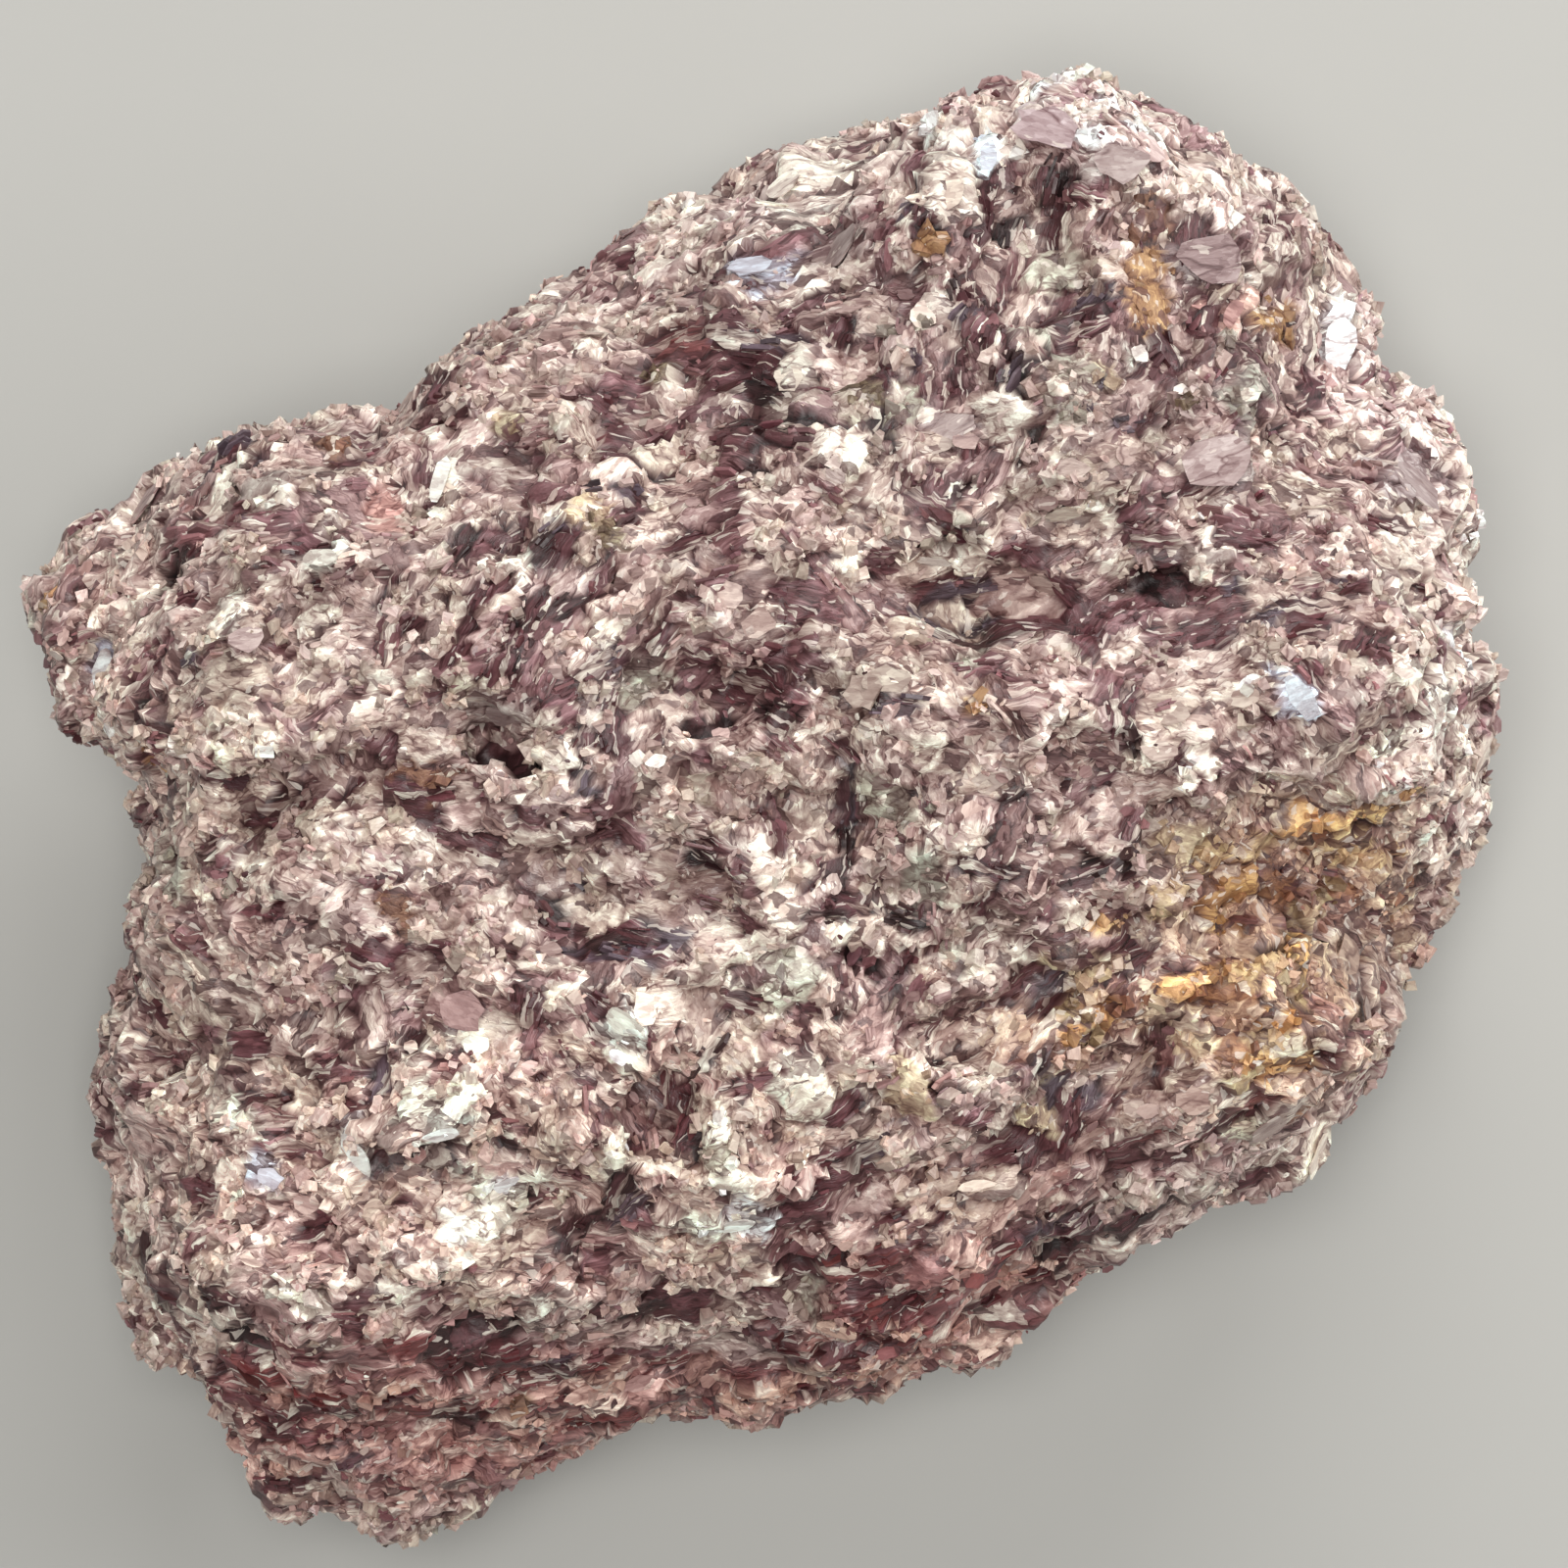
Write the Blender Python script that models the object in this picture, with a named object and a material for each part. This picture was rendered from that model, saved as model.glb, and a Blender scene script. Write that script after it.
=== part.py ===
"""Raw lepidolite: one rough chunk of grown-together mica books, lying on its flattest side.

Metres, +Z up. The origin is on the surface that the stone rests on, under the middle of its
bounding box. The broad rough face looks up, and +Y points to its high rounded end.
"""

import math

import bmesh
import bpy
import numpy as np
from mathutils import Matrix, Vector, noise

MM = 0.001

# Driving dimensions: the height of the whole stone, the level where it is widest, and how
# much of the rough form is taken off below to leave the flat patches that it rests on
HEIGHT_OF_STONE = 38.0 * MM
WIDEST_LEVEL = 14.0 * MM
BURIED = 0.7 * MM

# The outline below was read from above, from this far over the middle level, where higher
# parts look wider. The walls lean in by that much.
EYE_DISTANCE = 300.0 * MM
MIDDLE_LEVEL = 18.0 * MM

# The outline seen from above, walked counter-clockwise from the right, in mm
OUTLINE_MM = [
    (39.6, 3.3), (40.0, 6.4), (39.2, 9.1), (38.4, 15.4), (37.0, 19.6), (34.1, 22.0),
    (33.6, 24.8), (32.0, 28.5), (30.2, 31.0), (26.9, 33.4), (23.8, 35.2), (19.2, 36.9),
    (17.4, 37.6), (14.8, 37.9), (12.1, 37.2), (9.8, 35.8), (6.3, 34.9), (1.6, 34.2),
    (-1.1, 33.2), (-2.1, 31.9), (-4.2, 30.9), (-7.4, 28.4), (-10.6, 26.3), (-13.7, 24.6),
    (-14.5, 23.9), (-17.2, 23.5), (-18.5, 21.8), (-21.2, 19.5), (-25.0, 18.9), (-30.2, 18.6),
    (-33.9, 16.8), (-37.8, 13.6), (-39.6, 11.2), (-40.0, 9.1), (-39.1, 6.3), (-37.0, 4.1),
    (-35.6, 2.0), (-33.3, 0.9), (-33.5, -2.0), (-34.1, -5.7), (-35.5, -9.1), (-35.9, -13.1),
    (-35.1, -18.9), (-34.3, -23.7), (-33.2, -29.3), (-31.4, -32.6), (-28.6, -36.8),
    (-25.5, -39.3), (-20.4, -40.0), (-15.8, -38.8), (-11.6, -36.7), (-7.4, -35.7),
    (-2.1, -34.0), (5.3, -33.3), (9.0, -31.8), (13.7, -28.7), (20.1, -25.2), (24.8, -23.0),
    (28.5, -21.3), (31.9, -17.6), (33.0, -15.5), (34.2, -11.3), (35.3, -7.9), (37.3, -4.8),
    (38.8, -1.5), (39.4, 1.2),
]

# How boxy the cross-section is above and below the widest level: 2 is an ellipse
TOP_SQUARENESS = 3.6
BASE_SQUARENESS = 3.0

# How far the top rim is drawn in from the outline, as a share of the radius, by compass
# direction in degrees. The south side is the long slope under the broad face.
RIM_DRAWN_IN = [
    (-180, 0.05), (-150, 0.07), (-130, 0.17), (-112, 0.27), (-90, 0.24), (-60, 0.22),
    (-40, 0.17), (-20, 0.08), (0, 0.04), (60, 0.05), (90, 0.07), (130, 0.06), (180, 0.05),
]

# Old breaks under the widest level, where the chunk came off the rock: the compass direction
# that each one faces and how far it looks down, both in degrees. Each one starts at the outline.
BREAKS = [(205, 52), (262, 44), (318, 58), (12, 46), (63, 60), (118, 50), (158, 64)]

# Lower shoulders of the broad face, in mm: centre, half length, half width, turn in
# degrees, and the share of the height that is left there
SHOULDERS = [
    ((-37.5, 9.5), 12.5, 6.3, 82, 0.50),
    ((-21.0, -39.5), 13.0, 5.5, 8, 0.62),
    ((-37.5, -30.0), 9.0, 5.0, 110, 0.72),
    ((38.0, 21.0), 7.0, 5.0, 40, 0.84),
    ((-9.0, 32.0), 14.0, 4.0, 33, 0.88),
]

# Relief of the broad face, in mm: centre, half length, half width, turn in degrees, rise
RELIEF = {
    "stained_hollow": ((29.5, -5.5), 7.0, 4.6, -20, -3.6),
    "stained_channel": ((18.0, -11.5), 8.5, 2.6, 20, -1.5),
    "cross_valley": ((17.0, 9.2), 12.5, 2.6, -4, -1.9),
    "valley_head": ((9.8, 9.8), 4.0, 2.6, -15, -1.4),
    "crest_hollow": ((13.6, 28.5), 3.0, 5.5, 8, -2.1),
    "crest_rim": ((17.5, 34.0), 15.0, 3.0, -8, 1.3),
    "north_hollow": ((-4.0, 21.5), 7.0, 3.4, 12, -1.5),
    "west_hollow": ((-12.5, 15.0), 4.5, 3.0, 30, -0.9),
    "middle_ledge": ((5.0, 3.2), 11.0, 2.6, 3, 1.3),
    "east_hump": ((31.0, 6.0), 6.0, 5.0, 0, 1.2),
    "round_plate": ((34.5, 18.0), 3.6, 3.6, 0, 0.9),
    "south_hollow": ((-8.5, -5.5), 6.5, 2.8, -14, -1.6),
    "book_slot": ((3.6, -2.2), 1.5, 3.4, 6, -1.2),
    "small_pit": ((-14.3, 2.0), 2.4, 1.3, 6, -1.8),
    "black_pit": ((-2.6, 4.6), 2.6, 1.2, 10, -1.7),
    "west_trough": ((-24.5, -14.0), 7.5, 3.2, -8, -1.3),
    "crevice": ((-4.8, -15.5), 1.4, 4.2, -12, -2.0),
    "cream_block": ((-2.8, -21.6), 4.0, 3.2, 18, 1.7),
    "undercut": ((-18.0, -20.3), 5.5, 1.3, -6, -1.5),
    "west_boss": ((-17.5, -17.5), 4.5, 2.4, 10, 1.1),
    "south_rim": ((-19.0, -25.6), 12.0, 2.6, -3, 1.1),
    "east_terrace": ((15.5, -18.0), 11.0, 1.8, 27, -1.4),
    "east_terrace_rim": ((14.0, -15.0), 10.0, 1.9, 27, 0.9),
    "left_plate": ((-28.5, 5.0), 4.0, 5.5, 0, 0.9),
    "left_groove": ((-26.0, 0.6), 7.0, 1.3, -4, -1.1),
}

# Lumps of the whole surface: size of the waves and how far they reach
LUMPS = [(17.0 * MM, 1.4 * MM), (7.5 * MM, 0.75 * MM), (3.6 * MM, 0.35 * MM)]
LUMP_BIAS = -0.85 * MM

# Gradient noise seldom passes this share of its range, so reaches are divided by it
NOISE_SPAN = 0.625

# An oval of relief is whole inside its core and gone at its edge, in shares of its radii
OVAL_CORE = 0.45
OVAL_EDGE = 1.6

# Mica books: flat plates that break the surface as facets and small steps. Neighbours lean
# alike over about GRAIN_SIZE, and each one has a tilt and a step of its own.
BOOK_SPACING = 4.9 * MM
BOOK_SPACING_RANGE = (0.62, 1.25)
BOOK_LEAN = 0.55
BOOK_TILT = 0.23
BOOK_STEP = 0.55 * MM
BOOK_REACH = 1.3 * MM
BOOK_SLENDERNESS = 1.7
GRAIN_SIZE = 26.0 * MM
LEAST_FACING = 0.45

# Fineness of the mesh that is carved, of the one with its plates, and of the finished one
FORM_GRAIN = 0.75 * MM
PLATE_GRAIN = 0.5 * MM
TRIANGLES = 8800
GROUND_BLOCK = 160.0 * MM
SEED = 31

LILAC = (0.36, 0.25, 0.31, 1.0)
PEARLY_ROUGHNESS = 0.45


def clear_scene():
    for obj in list(bpy.data.objects):
        bpy.data.objects.remove(obj, do_unlink=True)


def smooth_step(low, high, value):
    t = np.clip((value - low) / (high - low), 0.0, 1.0)
    return t * t * (3.0 - 2.0 * t)


def outline_radius(angle):
    """Radius of the outline at each angle round the origin."""
    points = np.array(OUTLINE_MM) * MM
    angles = np.arctan2(points[:, 1], points[:, 0])
    radii = np.hypot(points[:, 0], points[:, 1])
    return np.interp(angle, angles, radii, period=2 * math.pi)


def rim_drawn_in(angle):
    compass, shares = np.array(RIM_DRAWN_IN).T
    return np.interp(np.degrees(angle), compass, shares)


def oval_falloff(points, centre, half_length, half_width, turn):
    """1 inside an oval's core on the XY plane, falling to 0 at its edge."""
    a = math.radians(turn)
    dx = points[:, 0] - centre[0] * MM
    dy = points[:, 1] - centre[1] * MM
    along = (dx * math.cos(a) + dy * math.sin(a)) / (half_length * MM)
    across = (dy * math.cos(a) - dx * math.sin(a)) / (half_width * MM)
    return 1.0 - smooth_step(OVAL_CORE, OVAL_EDGE, np.hypot(along, across))


def noise_at(points, size, offset):
    """Smooth noise from about -1 to 1, in waves of this size."""
    shift = Vector(offset)
    return np.array([noise.noise(Vector(p) / size + shift) for p in points]) / NOISE_SPAN


def coordinates(mesh):
    co = np.empty(len(mesh.vertices) * 3, np.float32)
    mesh.vertices.foreach_get("co", co)
    return co.reshape(-1, 3).astype(np.float64)


def normals(mesh):
    no = np.empty(len(mesh.vertices) * 3, np.float32)
    mesh.vertices.foreach_get("normal", no)
    return no.reshape(-1, 3).astype(np.float64)


def set_coordinates(mesh, points):
    mesh.vertices.foreach_set("co", points.astype(np.float32).ravel())
    mesh.update()


def evaluated_mesh(obj):
    """A new mesh with the object's modifiers applied."""
    graph = bpy.context.evaluated_depsgraph_get()
    return bpy.data.meshes.new_from_object(obj.evaluated_get(graph), depsgraph=graph)


def broken_flat(points):
    """Heights measured from the widest level: the points past each break are laid on it."""
    outline = np.array(OUTLINE_MM) * MM
    for compass, down in BREAKS:
        a = math.radians(compass)
        b = math.radians(down)
        facing = np.array([math.cos(a) * math.cos(b), math.sin(a) * math.cos(b), -math.sin(b)])
        distance = (outline @ facing[:2]).max()
        past = np.maximum(points @ facing - distance, 0.0)
        points = points - past[:, None] * facing
    return points


def main_form():
    """The whole chunk as a smooth closed form: its outline, its thickness and its shoulders."""
    mesh = bpy.data.meshes.new("main_form")
    bm = bmesh.new()
    bmesh.ops.create_icosphere(bm, subdivisions=6, radius=1.0)
    bm.to_mesh(mesh)
    bm.free()
    ball = coordinates(mesh)
    ball /= np.linalg.norm(ball, axis=1)[:, None]
    angle = np.arctan2(ball[:, 1], ball[:, 0])
    upper = ball[:, 2] > 0
    power = 2.0 / np.where(upper, TOP_SQUARENESS, BASE_SQUARENESS)
    out = np.hypot(ball[:, 0], ball[:, 1]) ** power
    up = np.abs(ball[:, 2]) ** power
    radius = outline_radius(angle) * out
    radius *= np.where(upper, 1.0 - rim_drawn_in(angle) * up**2, 1.0)
    depth = np.where(upper, HEIGHT_OF_STONE - WIDEST_LEVEL, -(WIDEST_LEVEL + BURIED))
    points = np.stack([radius * np.cos(angle), radius * np.sin(angle), up * depth], axis=1)
    for centre, half_length, half_width, turn, share in SHOULDERS:
        lowered = oval_falloff(points, centre, half_length, half_width, turn)
        points[upper, 2] *= (1.0 - (1.0 - share) * lowered)[upper]
    points = broken_flat(points)
    points[:, 2] += WIDEST_LEVEL
    points[:, :2] *= 1.0 - (points[:, 2:] - MIDDLE_LEVEL) / EYE_DISTANCE
    set_coordinates(mesh, points)
    return mesh


def evenly_meshed(mesh, grain):
    """The same form with points every so far, and nothing that passes through itself."""
    obj = bpy.data.objects.new("form", mesh)
    bpy.context.scene.collection.objects.link(obj)
    remesh = obj.modifiers.new("even", "REMESH")
    remesh.mode = "VOXEL"
    remesh.voxel_size = grain
    bpy.context.view_layer.update()
    even = evaluated_mesh(obj)
    bpy.data.objects.remove(obj, do_unlink=True)
    return even


def carve_relief(mesh):
    """Ledges, hollows and pits of the broad face, and lumps all over."""
    points = coordinates(mesh)
    out = normals(mesh)
    facing_up = smooth_step(-0.1, 0.6, out[:, 2])
    rise = np.zeros(len(points))
    for centre, half_length, half_width, turn, amount in RELIEF.values():
        rise += amount * MM * oval_falloff(points, centre, half_length, half_width, turn)
    rise = rise * facing_up + LUMP_BIAS
    for number, (size, reach) in enumerate(LUMPS):
        offset = (3.7 * number + 1.3, 8.1, 5.9 - number)
        rise += reach * noise_at(points, size, offset)
    set_coordinates(mesh, points + out * rise[:, None])


def book_centres(points, chooser):
    """Points of the surface at least about BOOK_SPACING apart."""
    order = chooser.permutation(len(points))
    kept = []
    for index in order:
        spacing = BOOK_SPACING * chooser.uniform(*BOOK_SPACING_RANGE)
        if kept:
            near = np.linalg.norm(points[kept] - points[index], axis=1).min()
            if near < spacing:
                continue
        kept.append(index)
    return np.array(kept)


def raise_books(mesh):
    """Each point goes to the flat plate of the nearest mica book, whose own tilt and step
    leave a facet with an edge round it."""
    chooser = np.random.default_rng(SEED)
    points = coordinates(mesh)
    out = normals(mesh)
    centres = book_centres(points, chooser)
    book_points = points[centres]
    lean = np.stack(
        [noise_at(book_points, GRAIN_SIZE, (k * 11.3, 2.2, 4.4)) for k in range(3)], axis=1
    )
    plate = out[centres] + BOOK_LEAN * NOISE_SPAN * lean
    plate += chooser.normal(0.0, BOOK_TILT, plate.shape)
    plate /= np.linalg.norm(plate, axis=1)[:, None]
    step = chooser.uniform(-BOOK_STEP, BOOK_STEP, len(centres))
    nearest = np.zeros(len(points), int)
    least = np.full(len(points), np.inf)
    for number in range(len(centres)):
        away = points - book_points[number]
        through = away @ plate[number]
        distance = (away**2).sum(axis=1) + (BOOK_SLENDERNESS**2 - 1.0) * through**2
        closer = distance < least
        nearest[closer] = number
        least[closer] = distance[closer]
    away = book_points[nearest] - points
    facing = np.maximum((out * plate[nearest]).sum(axis=1), LEAST_FACING)
    to_plate = (away * plate[nearest]).sum(axis=1) / facing
    rise = np.clip(to_plate + step[nearest], -BOOK_REACH, BOOK_REACH)
    set_coordinates(mesh, points + out * rise[:, None])


def ground_cutter():
    """A block whose top is the resting plane."""
    mesh = bpy.data.meshes.new("ground_cutter")
    bm = bmesh.new()
    bmesh.ops.create_cube(bm, size=1.0)
    bmesh.ops.scale(bm, verts=bm.verts[:], vec=(GROUND_BLOCK, GROUND_BLOCK, GROUND_BLOCK))
    bmesh.ops.translate(bm, verts=bm.verts[:], vec=(0.0, 0.0, -GROUND_BLOCK / 2))
    bm.to_mesh(mesh)
    bm.free()
    cutter = bpy.data.objects.new("ground_cutter", mesh)
    cutter.hide_render = True
    cutter.display_type = "WIRE"
    bpy.context.scene.collection.objects.link(cutter)
    return cutter


def finished_mesh(mesh):
    """The flat plates in few triangles with their edges kept, and the underside cut flat."""
    obj = bpy.data.objects.new("carved", mesh)
    bpy.context.scene.collection.objects.link(obj)
    triangles = sum(len(face.vertices) - 2 for face in mesh.polygons)
    decimate = obj.modifiers.new("few_faces", "DECIMATE")
    decimate.ratio = TRIANGLES / triangles
    decimate.use_collapse_triangulate = True
    flat_base = obj.modifiers.new("flat_base", "BOOLEAN")
    flat_base.operation = "DIFFERENCE"
    flat_base.object = ground_cutter()
    bpy.context.view_layer.update()
    finished = evaluated_mesh(obj)
    bpy.data.objects.remove(flat_base.object, do_unlink=True)
    bpy.data.objects.remove(obj, do_unlink=True)
    return finished


def centre_over_origin(mesh):
    places = coordinates(mesh)
    middle = (places.min(axis=0) + places.max(axis=0)) / 2
    mesh.transform(Matrix.Translation((-middle[0], -middle[1], 0.0)))


def lepidolite_material():
    material = bpy.data.materials.new("lepidolite_mica")
    material.use_nodes = True
    shader = material.node_tree.nodes["Principled BSDF"]
    shader.inputs["Base Color"].default_value = LILAC
    shader.inputs["Roughness"].default_value = PEARLY_ROUGHNESS
    shader.inputs["Metallic"].default_value = 0.0
    return material


def build_stone():
    mesh = evenly_meshed(main_form(), FORM_GRAIN)
    carve_relief(mesh)
    raise_books(mesh)
    mesh = finished_mesh(evenly_meshed(mesh, PLATE_GRAIN))
    centre_over_origin(mesh)
    mesh.name = "lepidolite"
    mesh.materials.clear()
    mesh.materials.append(lepidolite_material())
    stone = bpy.data.objects.new("lepidolite", mesh)
    bpy.context.scene.collection.objects.link(stone)
    return stone


def main():
    clear_scene()
    build_stone()


main()
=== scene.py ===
"""Looks of the raw lepidolite: thousands of mica plates, upright books, pale grains and chips,
grown on and into a dark ground of the stone's own form."""

import math

import bmesh
import bpy
import numpy as np
from mathutils import Euler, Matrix, Vector, kdtree, noise


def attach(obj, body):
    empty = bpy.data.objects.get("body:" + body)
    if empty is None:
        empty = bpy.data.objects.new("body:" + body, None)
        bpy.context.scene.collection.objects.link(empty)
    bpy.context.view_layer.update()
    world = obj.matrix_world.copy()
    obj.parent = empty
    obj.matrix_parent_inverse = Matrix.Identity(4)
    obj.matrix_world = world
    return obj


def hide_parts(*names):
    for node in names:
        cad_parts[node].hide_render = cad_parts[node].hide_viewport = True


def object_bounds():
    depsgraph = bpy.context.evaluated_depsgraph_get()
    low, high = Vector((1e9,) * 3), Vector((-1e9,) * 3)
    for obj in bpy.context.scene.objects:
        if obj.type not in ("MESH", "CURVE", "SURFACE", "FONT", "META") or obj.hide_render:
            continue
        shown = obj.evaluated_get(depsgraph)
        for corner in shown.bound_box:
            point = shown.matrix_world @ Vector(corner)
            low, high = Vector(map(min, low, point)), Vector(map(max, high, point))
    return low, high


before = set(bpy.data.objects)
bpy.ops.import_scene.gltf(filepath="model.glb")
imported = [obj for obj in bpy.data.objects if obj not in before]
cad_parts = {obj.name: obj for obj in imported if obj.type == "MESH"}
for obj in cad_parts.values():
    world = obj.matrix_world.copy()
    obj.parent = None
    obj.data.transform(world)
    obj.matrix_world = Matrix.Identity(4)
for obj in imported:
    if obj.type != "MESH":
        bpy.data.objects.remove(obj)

CAD_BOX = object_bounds()
MM = 0.001

# The camera looks straight down on the face. Places on the face are named below in pixels of
# its square view, which are this wide at the level of the face.
VIEW_PX = 1600
PX = 0.0528 * MM
FACE_LEVEL = 18.0 * MM
EYE = np.array([1.06, 1.33, 318.0]) * MM

# Colours, as sRGB from 0 to 255
CREAM = (228, 213, 199)
PALE_PINK = (206, 183, 173)
LILAC_GREY = (181, 154, 147)
LILAC = (150, 118, 116)
DUSKY = (119, 81, 84)
PLUM = (85, 48, 52)
# Near-black painted shade, for the sunk pits and for some grains of the darkest book patches
GAP_SHADE = (54, 31, 32)
PALE_GREY = (190, 170, 158)
GREEN_GREY = (160, 149, 137)
OCHRE = (168, 128, 92)
TAN = (184, 161, 136)
RUST = (132, 93, 76)
OLIVE = (122, 103, 84)
PINK = (216, 172, 162)
# Painted highlights: the warm white and the bluish white of glints on the mica
GLINT = (238, 227, 216)
BLUE_WHITE = (200, 202, 214)
SLATE = (88, 72, 80)
RED = (112, 62, 62)
PLATE_LILAC = (166, 145, 142)
AMBER = (208, 168, 124)

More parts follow.
